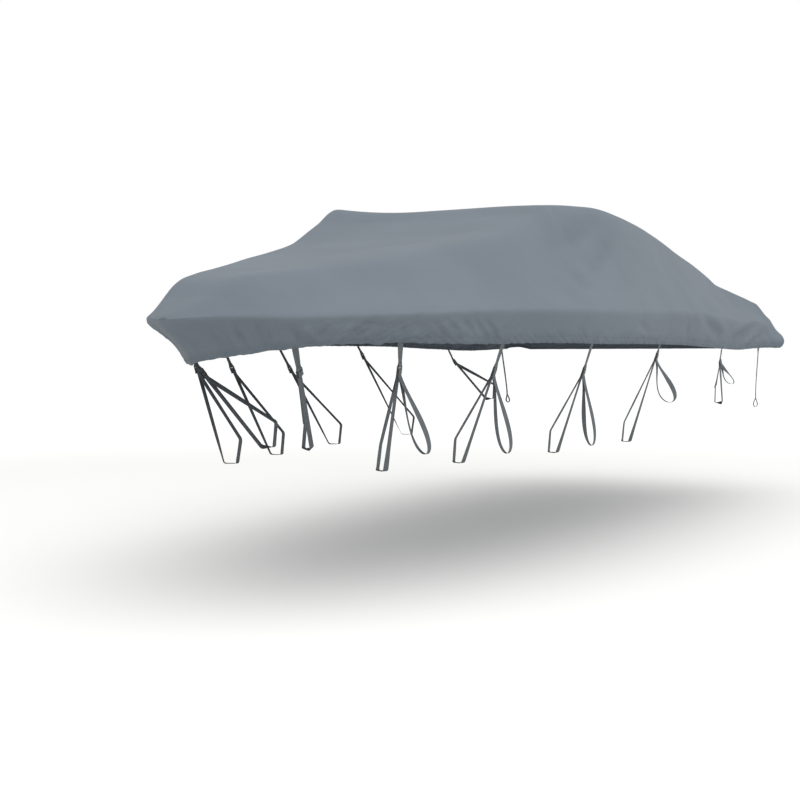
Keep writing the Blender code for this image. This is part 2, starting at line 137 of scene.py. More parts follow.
cloth = {
    "main": "#656D75",
    "faded": "#6D757D",  # sun and dust, in broad patches
    "deep": "#60686F",
    "scuffed": "#737B82",  # where it rubs over the windshield and the gunwale
    "soiledAndShaded": "#535C64",  # dirt along the hem and thick places in the yarn; painted shade in the deepest creases
    "yarn": 0.0012,  # m, two threads of the plain weave
    "slub": 0.012,  # m, thick places in the yarn, which show from a few steps away
    "patch": 0.45,  # m, fading
    "rub": 1 / 18,  # m, breaks in the wear, the dirt and the painted crease shade
    "rumple": 1 / 26,  # m, soft unevenness between the yarns and the folds
}


def coatedPolyester(values):  # woven polyester with a dull coating: matt, a faint sheen, soft mottling
    made, tree, shader = newMaterial("coatedPolyester")
    where = node(tree, "ShaderNodeTexCoord").outputs["Object"]
    uv = node(tree, "ShaderNodeUVMap", uv_map="cut").outputs[0]
    drawn = node(tree, "ShaderNodeMapping", {"Vector": uv, "Scale": (1.0, 5.0, 1.0)}).outputs[0]
    patches, slubs, rubs, rumples = (
        node(tree, "ShaderNodeTexNoise", {"Vector": vector, "Scale": 1 / size, "Detail": detail,
             "Roughness": rough}).outputs["Fac"]
        for vector, size, detail, rough in (
            (where, values["patch"], 3.0, 0.55), (drawn, values["slub"], 2.0, 0.5),
            (where, values["rub"], 4.0, 0.6), (where, values["rumple"], 3.0, 0.5)))
    fading = node(tree, "ShaderNodeMapRange", {0: patches, 1: 0.32, 2: 0.68}).outputs[0]
    thick = node(tree, "ShaderNodeMapRange", {0: slubs, 1: 0.25, 2: 0.75, 3: 0.0, 4: 0.16}).outputs[0]
    marks = [node(tree, "ShaderNodeAttribute", attribute_name=name).outputs["Fac"]
             for name in ("wear", "dirtAndCreaseShade")]
    # the wear, and the hem's dirt together with the painted crease shade, both broken up by the rubs
    worn, dirtAndShade = (node(tree, "ShaderNodeMath", {0: mark, 1: rubs}, operation="MULTIPLY").outputs[0]
                   for mark in marks)
    colour = linearColour(values["deep"])
    for share, over in ((fading, "faded"), (0.55, "main"), (thick, "soiledAndShaded"), (worn, "scuffed"),
                        (dirtAndShade, "soiledAndShaded")):
        colour = node(tree, "ShaderNodeMix", {0: share, 6: colour, 7: linearColour(values[over])},
                      data_type="RGBA").outputs[2]
    rough = node(tree, "ShaderNodeMapRange", {0: patches, 3: 0.78, 4: 0.9}).outputs[0]
    threads = node(tree, "ShaderNodeBump", {"Height": weave(tree, uv, values["yarn"], values["yarn"]),
                   "Strength": 0.25, "Distance": 0.0002}).outputs[0]
    rumpled = node(tree, "ShaderNodeBump", {"Height": rumples, "Strength": 0.35, "Distance": 0.0025,
                   "Normal": threads}).outputs[0]
    setInputs(tree, shader, {"Base Color": colour, "Roughness": rough, "Specular IOR Level": 0.15,
              "Sheen Weight": 0.03, "Sheen Roughness": 0.5, "Normal": rumpled})
    return made


webbing = {
    "width": 0.025,
    "thick": 0.0016,
    "edge": 0.0005,  # how much thinner its selvedges are
    "selvedge": 0.0016,  # how wide they are
    "colour": "#474D51",
    "light": "#62686C",  # raised threads, greyed by sun
    "rib": 0.0021,  # m, across
    "pick": 0.0018,  # m, along
}


def polypropyleneWebbing(values):  # flat ribbed weave, slightly glossy threads, greyed on its high spots
    made, tree, shader = newMaterial("polypropyleneWebbing")
    uv = node(tree, "ShaderNodeUVMap", uv_map="cut").outputs[0]
    threads = weave(tree, uv, values["pick"], values["rib"])
    grey = node(tree, "ShaderNodeTexNoise", {"Vector": uv, "Scale": 30.0, "Detail": 3.0})
    level = node(tree, "ShaderNodeMath", {0: threads, 1: grey.outputs["Fac"]}, operation="MULTIPLY")
    colour = node(tree, "ShaderNodeMix", {0: level.outputs[0], 6: linearColour(values["colour"]),
                  7: linearColour(values["light"])}, data_type="RGBA")
    raised = node(tree, "ShaderNodeBump", {"Height": threads, "Strength": 0.7, "Distance": 0.0004})
    setInputs(tree, shader, {"Base Color": colour.outputs[2], "Roughness": 0.62,
              "Specular IOR Level": 0.4, "Normal": raised.outputs[0]})
    return made


acetal = {"colour": "#1B1C1E", "scratch": "#34363A"}


def mouldedAcetal(values):  # injection-moulded buckles: black, satin, finely sparked, scratched on the edges
    made, tree, shader = newMaterial("mouldedAcetal")
    where = node(tree, "ShaderNodeTexCoord").outputs["Object"]
    grain = node(tree, "ShaderNodeTexNoise", {"Vector": where, "Scale": 1400.0, "Detail": 2.0})
    drawn = node(tree, "ShaderNodeMapping", {"Vector": where, "Scale": (1.0, 1.0, 6.0)}).outputs[0]
    scratches = node(tree, "ShaderNodeTexNoise", {"Vector": drawn, "Scale": 220.0,
                     "Detail": 4.0}).outputs["Fac"]
    level = node(tree, "ShaderNodeMapRange", {0: scratches, 1: 0.5, 2: 0.8})
    colour = node(tree, "ShaderNodeMix", {0: level.outputs[0], 6: linearColour(values["colour"]),
                  7: linearColour(values["scratch"])}, data_type="RGBA")
    rough = node(tree, "ShaderNodeMapRange", {0: scratches, 3: 0.36, 4: 0.55})
    raised = node(tree, "ShaderNodeBump", {"Height": grain.outputs["Fac"], "Strength": 0.3,
                  "Distance": 0.0001})
    setInputs(tree, shader, {"Base Color": colour.outputs[2], "Roughness": rough.outputs[0],
              "Normal": raised.outputs[0]})
    return made


thread = {"hem": "#6E777D", "tack": "#2B2E30", "light": "#A7ADB0"}


def bondedThread(name, colour, light):  # twisted polyester thread, its strands 0.4 mm apart
    made, tree, shader = newMaterial(name)
    where = node(tree, "ShaderNodeTexCoord").outputs["Object"]
    strands = node(tree, "ShaderNodeTexNoise", {"Vector": where, "Scale": 2500.0,
                   "Detail": 1.0}).outputs["Fac"]
    level = node(tree, "ShaderNodeMapRange", {0: strands, 3: 0.0, 4: 0.35})
    colour = node(tree, "ShaderNodeMix", {0: level.outputs[0], 6: linearColour(colour),
                  7: linearColour(light)}, data_type="RGBA")
    raised = node(tree, "ShaderNodeBump", {"Height": strands, "Strength": 0.4, "Distance": 0.0002})
    setInputs(tree, shader, {"Base Color": colour.outputs[2], "Roughness": 0.55,
              "Normal": raised.outputs[0]})
    return made


clothFinish = coatedPolyester(cloth)
webbingFinish = polypropyleneWebbing(webbing)
buckleFinish = mouldedAcetal(acetal)
hemThread = bondedThread("hemThread", thread["hem"], thread["light"])
tackThread = bondedThread("tackThread", thread["tack"], thread["light"])
print("materials made")

# The cover's cross sections, one a row.
# station: from the bow tip, aft. beam, crease: half width and height at the gunwale. rail, shoulder:
# the same at the shoulder. middle: height on the centreline. lean: how much higher the starboard
# shoulder is. round: the shoulder's softness. hem: its height. tuck, aft: how far it sits inboard
# and aft of the crease. curl: below 1 the skirt turns under at once, above 1 it hangs first.
columns = ("station", "beam", "crease", "rail", "shoulder", "middle", "lean", "round",
           "hem", "tuck", "aft", "curl")
sections = (
    (0.00, 0.000, 1.046, 0.000, 1.051, 1.051, 0.000, 0.008, 0.905, 0.000, 0.215, 0.95),
    (0.05, 0.100, 1.054, 0.045, 1.088, 1.084, 0.000, 0.014, 0.918, 0.030, 0.200, 0.95),
    (0.15, 0.205, 1.059, 0.105, 1.138, 1.130, 0.000, 0.020, 0.934, 0.060, 0.170, 0.95),
    (0.26, 0.302, 1.059, 0.144, 1.211, 1.200, 0.000, 0.024, 0.948, 0.080, 0.140, 0.95),
    (0.50, 0.470, 1.071, 0.270, 1.260, 1.250, 0.000, 0.034, 0.966, 0.092, 0.090, 0.98),
    (0.75, 0.610, 1.086, 0.370, 1.303, 1.293, 0.000, 0.040, 0.976, 0.088, 0.055, 1.02),
    (1.10, 0.740, 1.110, 0.470, 1.375, 1.360, 0.000, 0.044, 0.974, 0.078, 0.030, 1.15),
    (1.60, 0.860, 1.130, 0.560, 1.474, 1.458, 0.003, 0.036, 0.983, 0.062, 0.010, 1.25),
    (1.90, 0.905, 1.137, 0.580, 1.590, 1.567, 0.012, 0.024, 0.984, 0.056, 0.000, 1.30),
    (2.07, 0.920, 1.141, 0.582, 1.662, 1.640, 0.025, 0.012, 0.984, 0.054, 0.000, 1.30),
    (2.30, 0.935, 1.145, 0.625, 1.672, 1.650, 0.010, 0.020, 0.986, 0.052, 0.000, 1.30),
    (2.60, 0.945, 1.153, 0.665, 1.682, 1.660, 0.004, 0.028, 0.989, 0.050, 0.000, 1.30),
    (3.20, 0.955, 1.168, 0.695, 1.634, 1.626, 0.000, 0.028, 0.991, 0.048, 0.000, 1.30),
    (3.80, 0.960, 1.167, 0.700, 1.554, 1.554, 0.000, 0.024, 0.981, 0.046, 0.000, 1.30),
    (4.40, 0.962, 1.164, 0.710, 1.464, 1.464, 0.000, 0.020, 0.974, 0.044, 0.000, 1.30),
    (4.62, 0.964, 1.163, 0.730, 1.400, 1.402, 0.000, 0.018, 0.978, 0.042, 0.000, 1.25),
    (4.85, 0.966, 1.160, 0.765, 1.376, 1.382, 0.000, 0.018, 0.986, 0.040, 0.000, 1.20),
    (5.10, 0.968, 1.164, 0.835, 1.324, 1.332, 0.000, 0.018, 0.992, 0.034, -0.010, 1.10),
    (5.22, 0.966, 1.184, 0.880, 1.288, 1.318, 0.000, 0.016, 0.990, 0.030, -0.025, 1.10),
    (5.28, 0.945, 1.200, 0.870, 1.270, 1.296, 0.000, 0.016, 0.990, 0.024, -0.040, 1.10),
)
sternStation = sections[-1][0]
sternBeam = sections[-1][1]


def smoothColumn(name):  # a column as a smooth function, with no overshoot, over the root of the station
    at = np.sqrt([row[0] for row in sections])
    values = np.array([row[columns.index(name)] for row in sections])
    steps = np.diff(at)
    rises = np.diff(values) / steps
    slopes = np.concatenate([rises[:1], np.zeros(len(at) - 2), rises[-1:]])
    for k in range(1, len(at) - 1):
        if rises[k - 1] * rises[k] > 0:
            before, after = 2 * steps[k] + steps[k - 1], steps[k] + 2 * steps[k - 1]
            slopes[k] = (before + after) / (before / rises[k - 1] + after / rises[k])

    def read(station):
        root = np.sqrt(np.clip(station, 0.0, sternStation))
        k = np.clip(np.searchsorted(at, root) - 1, 0, len(steps) - 1)
        t = (root - at[k]) / steps[k]
        start = (1 + 2 * t) * (1 - t) ** 2 * values[k] + t * (1 - t) ** 2 * steps[k] * slopes[k]
        end = t * t * (3 - 2 * t) * values[k + 1] - t * t * (1 - t) * steps[k] * slopes[k + 1]
        return start + end

    return read


column = {name: smoothColumn(name) for name in columns}

# Folds of the skirt: along, side (port -1), out, half its length along the hem, slant of its foot.
folds = (
    (0.10, -1, 0.006, 0.07, 0.02), (0.20, -1, -0.006, 0.08, 0.02), (0.42, -1, 0.007, 0.11, 0.10),
    (0.58, -1, -0.006, 0.10, 0.08), (0.95, -1, 0.009, 0.14, 0.16), (1.45, -1, -0.007, 0.16, -0.10),
    (2.35, -1, 0.008, 0.20, 0.12), (3.30, -1, -0.007, 0.22, 0.08), (3.72, -1, 0.010, 0.20, 0.14),
    (4.55, -1, 0.012, 0.22, -0.20), (4.92, -1, -0.010, 0.16, -0.16), (0.14, 1, 0.006, 0.08, 0.02),
    (0.47, 1, -0.006, 0.10, 0.06), (0.98, 1, 0.008, 0.15, 0.10), (1.55, 1, -0.007, 0.17, 0.10),
    (2.45, 1, 0.008, 0.20, -0.10), (3.45, 1, 0.009, 0.24, 0.10), (4.60, 1, 0.011, 0.22, -0.14),
)
# Creases of the top: from station and side, to station and side, depth (a ridge is below 0), half width.
creases = (
    (2.55, -0.66, 1.75, -0.70, 0.010, 0.16), (2.95, -0.70, 2.30, -0.86, 0.009, 0.16),
    (4.15, -0.93, 4.95, -0.80, 0.014, 0.16), (4.30, -0.90, 4.80, -0.72, -0.010, 0.15),
    (2.60, 0.68, 1.90, 0.82, 0.009, 0.18), (4.25, 0.92, 4.95, 0.80, 0.012, 0.18),
)


def lineBump(a, b, fromA, fromB, toA, toB, half, fade):  # 1 along a line, soft at its sides and its ends
    runA, runB = toA - fromA, toB - fromB
    share = ((a - fromA) * runA + (b - fromB) * runB) / (runA ** 2 + runB ** 2)
    share = np.clip(share, 0.0, 1.0)
    away = np.hypot(a - fromA - share * runA, b - fromB - share * runB)
    return bump(share - 0.5, fade) * bump(away, half)


topForm = {
    "flankSag": 0.022,  # m, how far the cloth sags between the shoulder and the gunwale
    "fullBeam": 0.8,  # m, half the beam from which on it sags that far
    "crownPower": 2.5,  # how flat the top is in its middle
    "straight": 0.25,  # share of the flank, from the gunwale up, without the shoulder's rounding
    "creaseFade": 0.75,
}


def creaseDepth(station, side, rows):
    depth = np.zeros_like(station)
    for fromX, fromY, toX, toY, deep, half in rows:
        depth += deep * lineBump(station, side, fromX, fromY, toX, toY, half, topForm["creaseFade"])
    return depth


def topHeight(station, side):
    beam, rail = column["beam"](station), column["rail"](station)
    crease, middle = column["crease"](station), column["middle"](station)
    half = np.minimum(np.abs(side), beam)
    shoulder = column["shoulder"](station) + np.sign(side) * column["lean"](station)
    crown = middle + (shoulder - middle) * (half / np.maximum(rail, 1e-6)) ** topForm["crownPower"]
    share = (beam - half) / np.maximum(beam - rail, 1e-6)
    sag = np.sin(np.pi * np.minimum(share, 1.0)) * np.minimum(beam / topForm["fullBeam"], 1.0)
    flank = crease + (shoulder - crease) * share - topForm["flankSag"] * sag
    soft = column["round"](station)
    blended = np.minimum(crown, flank) - soft * np.log1p(np.exp(-np.abs(crown - flank) / soft))
    height = blended + bump(share, topForm["straight"]) * (flank - blended)
    inside = np.minimum(share / topForm["straight"], 1.0)
    return height - creaseDepth(station, side, creases) * inside, inside


skirtForm = {
    "foldStart": 1.6,  # how soon below the gunwale the folds are at their full depth
    "bulge": 0.115, "bulgeStarboard": 0.0575,  # m, how far loose cloth stands out at the stern's corners
    "reach": 0.35,  # m from the corner
    "share": 0.80, "fade": 0.75,  # how far down it stands out most, and how gradually
}


def skirtFold(station, side, share):
    out = np.zeros_like(station + share)
    for along, foldSide, foldOut, half, slant in folds:
        middle = along + slant * (share - 0.5)
        full = np.minimum(share * skirtForm["foldStart"], 1.0) * (foldSide * side > 0)
        out += foldOut * bump(station - middle, half) * full
    return out


hemForm = {  # the hem hangs lower beside the stem to starboard
    "bowDrop": 0.032, "bowStation": 0.11, "bowReach": 0.28,
    "bowSide": 0.09,  # m off the centreline, where it hangs lowest
    "bowCurl": 0.22,  # how much more the skirt turns under there
}


def bowHang(station, side):  # 1 beside the stem to starboard, 0 elsewhere
    near = bump(station - hemForm["bowStation"], hemForm["bowReach"])
    return near * np.clip(side / hemForm["bowSide"], 0.0, 1.0)


def skirtPoint(crease, hem, outward, share, station, side):
    run = hem - crease
    point = crease + run * share[:, None]
    curl = column["curl"](station) - hemForm["bowCurl"] * bowHang(station, side)
    inboard = share ** curl - share
    point[:, :2] += run[:, :2] * inboard[:, None]
    out = skirtFold(station, side, share)
    corner = np.hypot(station - sternStation, np.abs(side) - sternBeam)
    full = np.where(side < 0, skirtForm["bulge"], skirtForm["bulgeStarboard"])
    near = bump(corner, skirtForm["reach"]) * bump(share - skirtForm["share"], skirtForm["fade"])
    return point + outward * (out + full * near)[:, None]


def hemPoint(station, side):
    beam = np.maximum(column["beam"](station), 1e-6)
    inboard = side * (1 - column["tuck"](station) / beam)
    aft = station + column["aft"](station) - mountStation
    height = column["hem"](station) - hemForm["bowDrop"] * bowHang(station, side) - mountHeight
    return np.stack([aft, inboard, height], axis=1)


# Tie-downs. The webbing comes first, because it is what hangs free.
# hem: station of the tab. drop: from the hem to the buckle's top. lead: how far aft the buckle lies.
# footX, footY, footZ: where the loop comes round under the rail it is tied to. skew: how much further
# aft its inner strand is. tail, spread, swing: length, width and outboard lean of the spare loop.
# turn1, turn2: how far its two strands turn from square to the hull, in degrees.
strapColumns = ("name", "hem", "drop", "lead", "footX", "footY", "footZ", "skew",
                "tail", "spread", "swing", "turn1", "turn2")
straps = (
    ("1", 0.31, 0.080, 0.00, 0.76, 0.12, 0.560, 0.03, 0.00, 0.00, 0.00, 0, 0),
    ("2", 0.725, 0.090, 0.01, 0.87, 0.39, 0.475, 0.05, 0.29, 0.07, 0.11, 25, -15),
    ("3", 1.26, 0.096, 0.00, 1.36, 0.49, 0.475, 0.03, 0.31, 0.06, 0.06, 20, 10),
    ("4", 1.95, 0.110, 0.00, 2.09, 0.63, 0.475, 0.04, 0.31, 0.05, 0.04, 15, 30),
    ("5", 2.84, 0.045, 0.00, 2.99, 0.69, 0.475, 0.06, 0.21, 0.09, 0.07, 55, -5),
    ("6", 4.06, 0.075, -0.05, 4.46, 0.82, 0.640, 0.02, 0.11, 0.054, 0.06, 0, 0),
)
strapForm = {
    "clothThick": 0.002, "gap": 0.0004,
    "lap": 0.017, "clear": 0.007,  # m, how far a tab goes up inside the hem and hangs straight below it
    "lead": 0.010,  # m, how far webbing runs straight from a buckle
    "tabTurn": 0.4,  # where between hem and buckle a tab turns
    "strands": (-0.0012, -0.0036), "inside": 0.009,  # m, how the loop's strands enter the buckle
    "tailEnds": (0.0044, 0.0020), "tailSteps": 56, "kick": 0.007, "strandGap": 0.0030, "belly": 1.4,
    "turnPlaces": (0.27, 0.73), "turnReach": 0.2,  # where along a spare loop it turns, and over how much
    "railWidth": 0.050, "railHeight": 0.100, "railRound": 0.010,
    "longestStep": 0.145,  # m, between two of the hem's stations
    "tabStep": 0.006, "loopStep": 0.030, "barStep": 0.0016,  # m, between points along the webbing
    "tackOut": 0.0032, "tackUp": 0.010,  # m, where a tab's stitching is
}
sternStrap = {"hem": 4.975, "foot": (5.03, 0.90, 0.595), "eye": 0.060, "eyeWidth": 0.026, "lap": 0.035}
buckle = {
    "length": 0.034, "wall": 0.0046, "ease": 0.0009,
    "rails": (-0.018, -0.0134, 0.0134, 0.018),  # across
    "bars": ((0.0170, 0.0), (0.0124, 0.0), (0.0058, 0.0016), (0.0012, 0.0022),
             (-0.0078, 0.0012), (-0.0124, 0.0022), (-0.0168, 0.0033)),  # height, how far out
    "solidRows": (0, 2, 4, 5),  # those that cross between the rails
    # how the webbing goes, by how far out and how high: round the top bar, and over the ladder bar
    "fold": ((0.0017, 0.030), (0.0018, 0.024), (0.0031, 0.0185), (0.0034, 0.0150), (0.0026, 0.0118),
             (0.0, 0.0106), (-0.0026, 0.0118), (-0.0034, 0.0150), (-0.0031, 0.0185), (-0.0018, 0.024),
             (-0.0017, 0.030)),
    "turn": ((-0.0012, -0.0090), (-0.0014, -0.0010), (-0.0013, 0.0040), (0.0000, 0.0074),
             (0.0024, 0.0084), (0.0048, 0.0072), (0.0058, 0.0030), (0.0056, -0.0040),
             (0.0060, -0.0100), (0.0066, -0.0150)),
}


def hemStations():  # where the cloth's sections lie, with those of the tabs
    fixed = {row[0] for row in sections} | {row[1] for row in straps} | {0.02, sternStrap["hem"]}
    fixed = sorted(fixed)
    stations = [fixed[0]]
    for start, end in zip(fixed, fixed[1:]):
        count = math.ceil((end - start) / strapForm["longestStep"])
        stations += [start + (end - start) * k / count for k in range(1, count + 1)]
    return np.array(stations)


def hemSeat(station, sign):  # where a tab is sewn inside the hem, and the cloth's ways up and along
    stations = hemStations()
    k = int(np.argmin(np.abs(stations - station)))
    near = stations[k - 2:k + 3]
    side = sign * column["beam"](near)
    crease = np.stack([near - mountStation, side, column["crease"](near) - mountHeight], axis=1)
    along = (crease[2:] - crease[:-2]) * -sign
    outward = np.stack([along[:, 1], -along[:, 0], along[:, 0] * 0], axis=1)
    outward /= np.linalg.norm(outward, axis=1)[:, None]
    inner = slice(1, -1)
    rims = hemPoint(near, side)[inner]
    levels = [skirtPoint(crease[inner], rims, outward, np.full(3, share), near[inner], side[inner])
              for share in (1.0, 0.8)]
    order = (0, 1, 2) if sign < 0 else (2, 1, 0)
    before, hem, after = (Vector(levels[0][k]) for k in order)
    above = Vector(levels[1][1])
    first, second = (hem - before).normalized(), (after - hem).normalized()
    bend = math.copysign(first.angle(second), first.cross(second).z)
    inset = strapForm["clothThick"] + strapForm["gap"] + webbing["thick"] / 2
    inset += webbing["width"] / 2 * max(math.tan(bend / 2), 0.0)
    up, along = (above - hem).normalized(), (first + second).normalized()
    inward = up.cross(along).normalized()
    inward *= -math.copysign(1, inward.y * sign)
    return hem + inward * inset, up, along, -inward


def splined(points, step):  # a smooth line through the points, with points a step apart
    line, marks = [], []
    for k in range(len(points) - 1):
        p0 = points[max(k - 1, 0)]
        p1, p2 = points[k], points[k + 1]
        p3 = points[min(k + 2, len(points) - 1)]
        count = max(2, math.ceil((p2 - p1).length / step))
        d1 = max((p1 - p0).length, 1e-5) ** 0.5
        d2 = max((p2 - p1).length, 1e-5) ** 0.5
        d3 = max((p3 - p2).length, 1e-5) ** 0.5
        m1 = (p2 - p1) + d2 * ((p1 - p0) / d1 - (p2 - p0) / (d1 + d2)) if k else p2 - p1
        last = k == len(points) - 2
        m2 = p2 - p1 if last else (p2 - p1) + d2 * ((p3 - p2) / d3 - (p3 - p1) / (d2 + d3))
        for j in range(count):
            t = j / count
            line.append(p1 * (2 * t ** 3 - 3 * t * t + 1) + m1 * (t ** 3 - 2 * t * t + t)
                        + p2 * (3 * t * t - 2 * t ** 3) + m2 * (t ** 3 - t * t))
            marks.append(k + t)
    return line + [points[-1]], marks + [float(len(points) - 1)]


def ribbon(name, points, wideAxes):  # woven webbing along points, with thinner selvedges
    half, thick = webbing["width"] / 2, webbing["thick"] / 2
    flat, rim = half - webbing["selvedge"], thick - webbing["edge"]
    profile = [(half, -rim), (half, rim), (flat, thick), (0.0, thick), (-flat, thick), (-half, rim),
               (-half, -rim), (-flat, -thick), (0.0, -thick), (flat, -thick)]
    count = len(profile)
    verts, walked = [], [0.0]
    for k, point in enumerate(points):
        run = (points[min(k + 1, len(points) - 1)] - points[max(k - 1, 0)]).normalized()
        wide = (wideAxes[k] - run * wideAxes[k].dot(run)).normalized()
        thin = run.cross(wide)
        verts += [point + wide * across + thin * through for across, through in profile]
        if k:
            walked.append(walked[-1] + (point - points[k - 1]).length)
    faces = [[k * count + (j + 1) % count, k * count + j, (k + 1) * count + j,
              (k + 1) * count + (j + 1) % count]
             for k in range(len(points) - 1) for j in range(count)]
    faces += [list(range(count)), [len(verts) - 1 - j for j in range(count)]]
    made = newObject(name, verts, faces, webbingFinish)
    layer = made.data.uv_layers.new(name="cut")
    for loop in made.data.loops:
        ring, at = divmod(loop.vertex_index, count)
        layer.data[loop.index].uv = (walked[ring], profile[at][0])
    fixNormals(made)
    made.data.set_sharp_from_angle(angle=math.radians(50))
    return made


def fixNormals(made):
    mesh = bmesh.new()
    mesh.from_mesh(made.data)
    bmesh.ops.recalc_face_normals(mesh, faces=mesh.faces)
    mesh.to_mesh(made.data)
    mesh.free()


def rounded(points, radius, steps):  # each inner corner replaced by a short arc
    path = [points[0]]
    for before, corner, after in zip(points, points[1:], points[2:]):
        start = corner + (before - corner).normalized() * radius
        end = corner + (after - corner).normalized() * radius
        for k in range(steps + 1):
            share = k / steps
            path.append(start.lerp(corner, share).lerp(corner.lerp(end, share), share))
    return path + [points[-1]]


def buckleMesh():  # a ladder-lock: two rails, a top bar, a ladder bar and a thumb lip, in one moulding
    rails, bars = buckle["rails"], buckle["bars"]
    grid = bmesh.new()
    rows = [[grid.verts.new((x, out, z)) for x in rails] for z, out in bars]
    for r in range(len(bars) - 1):
        for c in range(len(rails) - 1):
            if r in buckle["solidRows"] or c != 1:
                grid.faces.new([rows[r][c], rows[r + 1][c], rows[r + 1][c + 1], rows[r][c + 1]])
    for row in rows[1:-1]:  # the rails stay straight while the bars bow out
        row[0].co.y = row[3].co.y = 0.0
    made = bpy.data.objects.new("buckle", bpy.data.meshes.new("buckle"))
    grid.to_mesh(made.data)
    grid.free()
    bpy.context.collection.objects.link(made)
    wall = made.modifiers.new("wall", "SOLIDIFY")
    wall.thickness, wall.offset, wall.use_even_offset = buckle["wall"], 0.0, True
    ease = made.modifiers.new("ease", "BEVEL")
    ease.width, ease.segments, ease.limit_method = buckle["ease"], 2, "ANGLE"
    smooth = made.modifiers.new("smooth", "SUBSURF")
    smooth.levels = smooth.render_levels = 1
    bakeModifiers(made, "buckle")
    mesh = made.data
    bpy.data.objects.remove(made)
    return mesh


buckleShape = buckleMesh()


def addBuckle(name, middle, down, out):
    turn = Matrix((out.cross(-down), out, -down)).transposed().to_4x4()
    mesh = buckleShape.copy()
    mesh.transform(Matrix.Translation(middle) @ turn)
    mesh.name = name
    mesh.materials.clear()
    mesh.materials.append(buckleFinish)
    mesh.shade_smooth()
    made = bpy.data.objects.new(name, mesh)
    bpy.context.collection.objects.link(made)
    return made


def finishPiece(piece, slotName, *nodes):
    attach(piece, body)
    if nodes:
        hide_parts(*nodes)


tackPlaces = []  # where thread is sewn through the hem: point, up, along


def addTack(seat, up, along, outward):
    tackPlaces.append((seat + outward * strapForm["tackOut"] + up * strapForm["tackUp"], up, along))


def strapName(sign, number):
    return ("port" if sign < 0 else "starboard") + "_strap_" + number


def throughKnots(knots, knotAxes):  # a smooth path, with the direction of the webbing's width along it
    path, marks = splined(knots, strapForm["tabStep"])
    last = len(knots) - 1
    axes = [knotAxes[int(m)].lerp(knotAxes[min(int(m) + 1, last)], m - int(m)) for m in marks]
    return path, axes


def tailPath(strap, bottom, down, wide, out, sign):
    steps = strapForm["tailSteps"]
    first, last = (bottom + out * offset for offset in strapForm["tailEnds"])
    path, axes = [first], [wide]
    lead = down * strapForm["lead"]
    for k in range(steps + 1):
        u = k / steps
        hang = math.sin(math.pi * u) ** 2
        belly = strapForm["belly"] * math.sin(2 * math.pi * u) * hang * strap["spread"] / 2
        aside = Vector((0, sign * (strap["swing"] * hang + belly), -strap["tail"] * hang))
        path.append(bottom + out * (strapForm["kick"] + strapForm["strandGap"] * (1 - u)) + lead + aside)
        turn = sum(math.radians(strap[key]) * float(bump(u - middle, strapForm["turnReach"]))
                   for key, middle in zip(("turn1", "turn2"), strapForm["turnPlaces"]))
        turned = Vector((math.cos(turn), math.sin(turn) * sign, 0))
        axes.append(wide.lerp(turned, min(hang * 2, 1.0)))
    return path + [last], axes + [wide]


def flatAxes(path, anchors):  # the width's direction at each point, from the anchors' by nearness
    axes = []
    for point in path:
        axis = Vector()
        for anchor, direction in anchors:
            axis += direction / ((point - anchor).length + 1e-4) ** 3
        axes.append(axis.normalized())
    return axes


def bendAxis(before, corner, after):  # lets webbing bend there without creasing its edge
    axis = (corner - before).cross(after - corner).normalized()
    return axis * math.copysign(1, axis.x)


def loopPath(strap, bottom, foot, down, wide, out, sign):  # down to the rail, round it and back
    inner = foot - Vector((0, sign * strapForm["railWidth"], 0))
    skew = Vector((strap["skew"], 0, 0))
    start, end = (bottom + out * offset for offset in strapForm["strands"])
    lead, inside = down * strapForm["lead"], down * strapForm["inside"]
    corners = [start + lead, foot, inner + skew / 2,
               inner + skew + Vector((0, 0, strapForm["railHeight"])), end + lead]
    path = [start - inside] + rounded(corners, strapForm["railRound"], 6) + [end - inside]
    fine = [path[0]]
    for before, after in zip(path, path[1:]):
        count = max(1, math.ceil((after - before).length / strapForm["loopStep"]))
        fine += [before.lerp(after, k / count) for k in range(1, count + 1)]
    level = Vector((1, 0, 0))
    anchors = [(start + lead, wide), (foot, bendAxis(*corners[:3])), (corners[2], level),
               (corners[3], level), (end + lead, wide)]
    return fine, flatAxes(fine, anchors)


def addStrap(strap, sign):
    name = strapName(sign, strap["name"])
    seat, up, along, outward = hemSeat(strap["hem"], sign)
    foot = place(strap["footX"], sign * strap["footY"], strap["footZ"])
    down = (foot - seat).normalized()
    top = seat + down * strap["drop"] / -down.z + Vector((strap["lead"], 0.0, 0.0))
    down = (foot - top).normalized()
    wide = (Vector((1, 0, 0)) - down * down.x).normalized()
    out = Vector((0, sign, 0))
    out = (out - down * out.dot(down) - wide * out.dot(wide)).normalized()
    clear = seat - up * strapForm["clear"]
    facing = along * math.copysign(1, along.x)
    # the tab, from inside the hem to the buckle's top bar
    knots = [seat + up * strapForm["lap"], seat, clear, clear.lerp(top, strapForm["tabTurn"]),
             top - down * strapForm["lead"], top - down * strapForm["gap"]]
    tab = ribbon(name + "_tab", *throughKnots(knots, [facing] * 3 + [facing.lerp(wide, 0.5), wide, wide]))
    middle = top + down * buckle["length"] / 2
    lock = addBuckle(name + "_buckle", middle, down, out)
    finishPiece(tab, "webbing", name + "_tab")
    finishPiece(lock, "buckle", name + "_buckle")
    ends = []
    for way in ("fold", "turn"):
        path, _ = splined([middle + out * o - down * z for o, z in buckle[way]], strapForm["barStep"])
        ends.append(ribbon(f"{name}_{way}", path, [wide] * len(path)))
        finishPiece(ends[-1], "webbing")
    bottom = top + down * (buckle["length"] + strapForm["gap"])
    path, axes = loopPath(strap, bottom, foot, down, wide, out, sign)
    loop = ribbon(name + "_loop", path, axes)
    finishPiece(loop, "webbing", name + "_loop")
    if strap["tail"] and sign < 0:
        path, axes = tailPath(strap, bottom, down, wide, out, sign)
        tail = ribbon(name + "_tail", path, axes)
        finishPiece(tail, "webbing", name + "_tail")
    addTack(seat, up, along, outward)


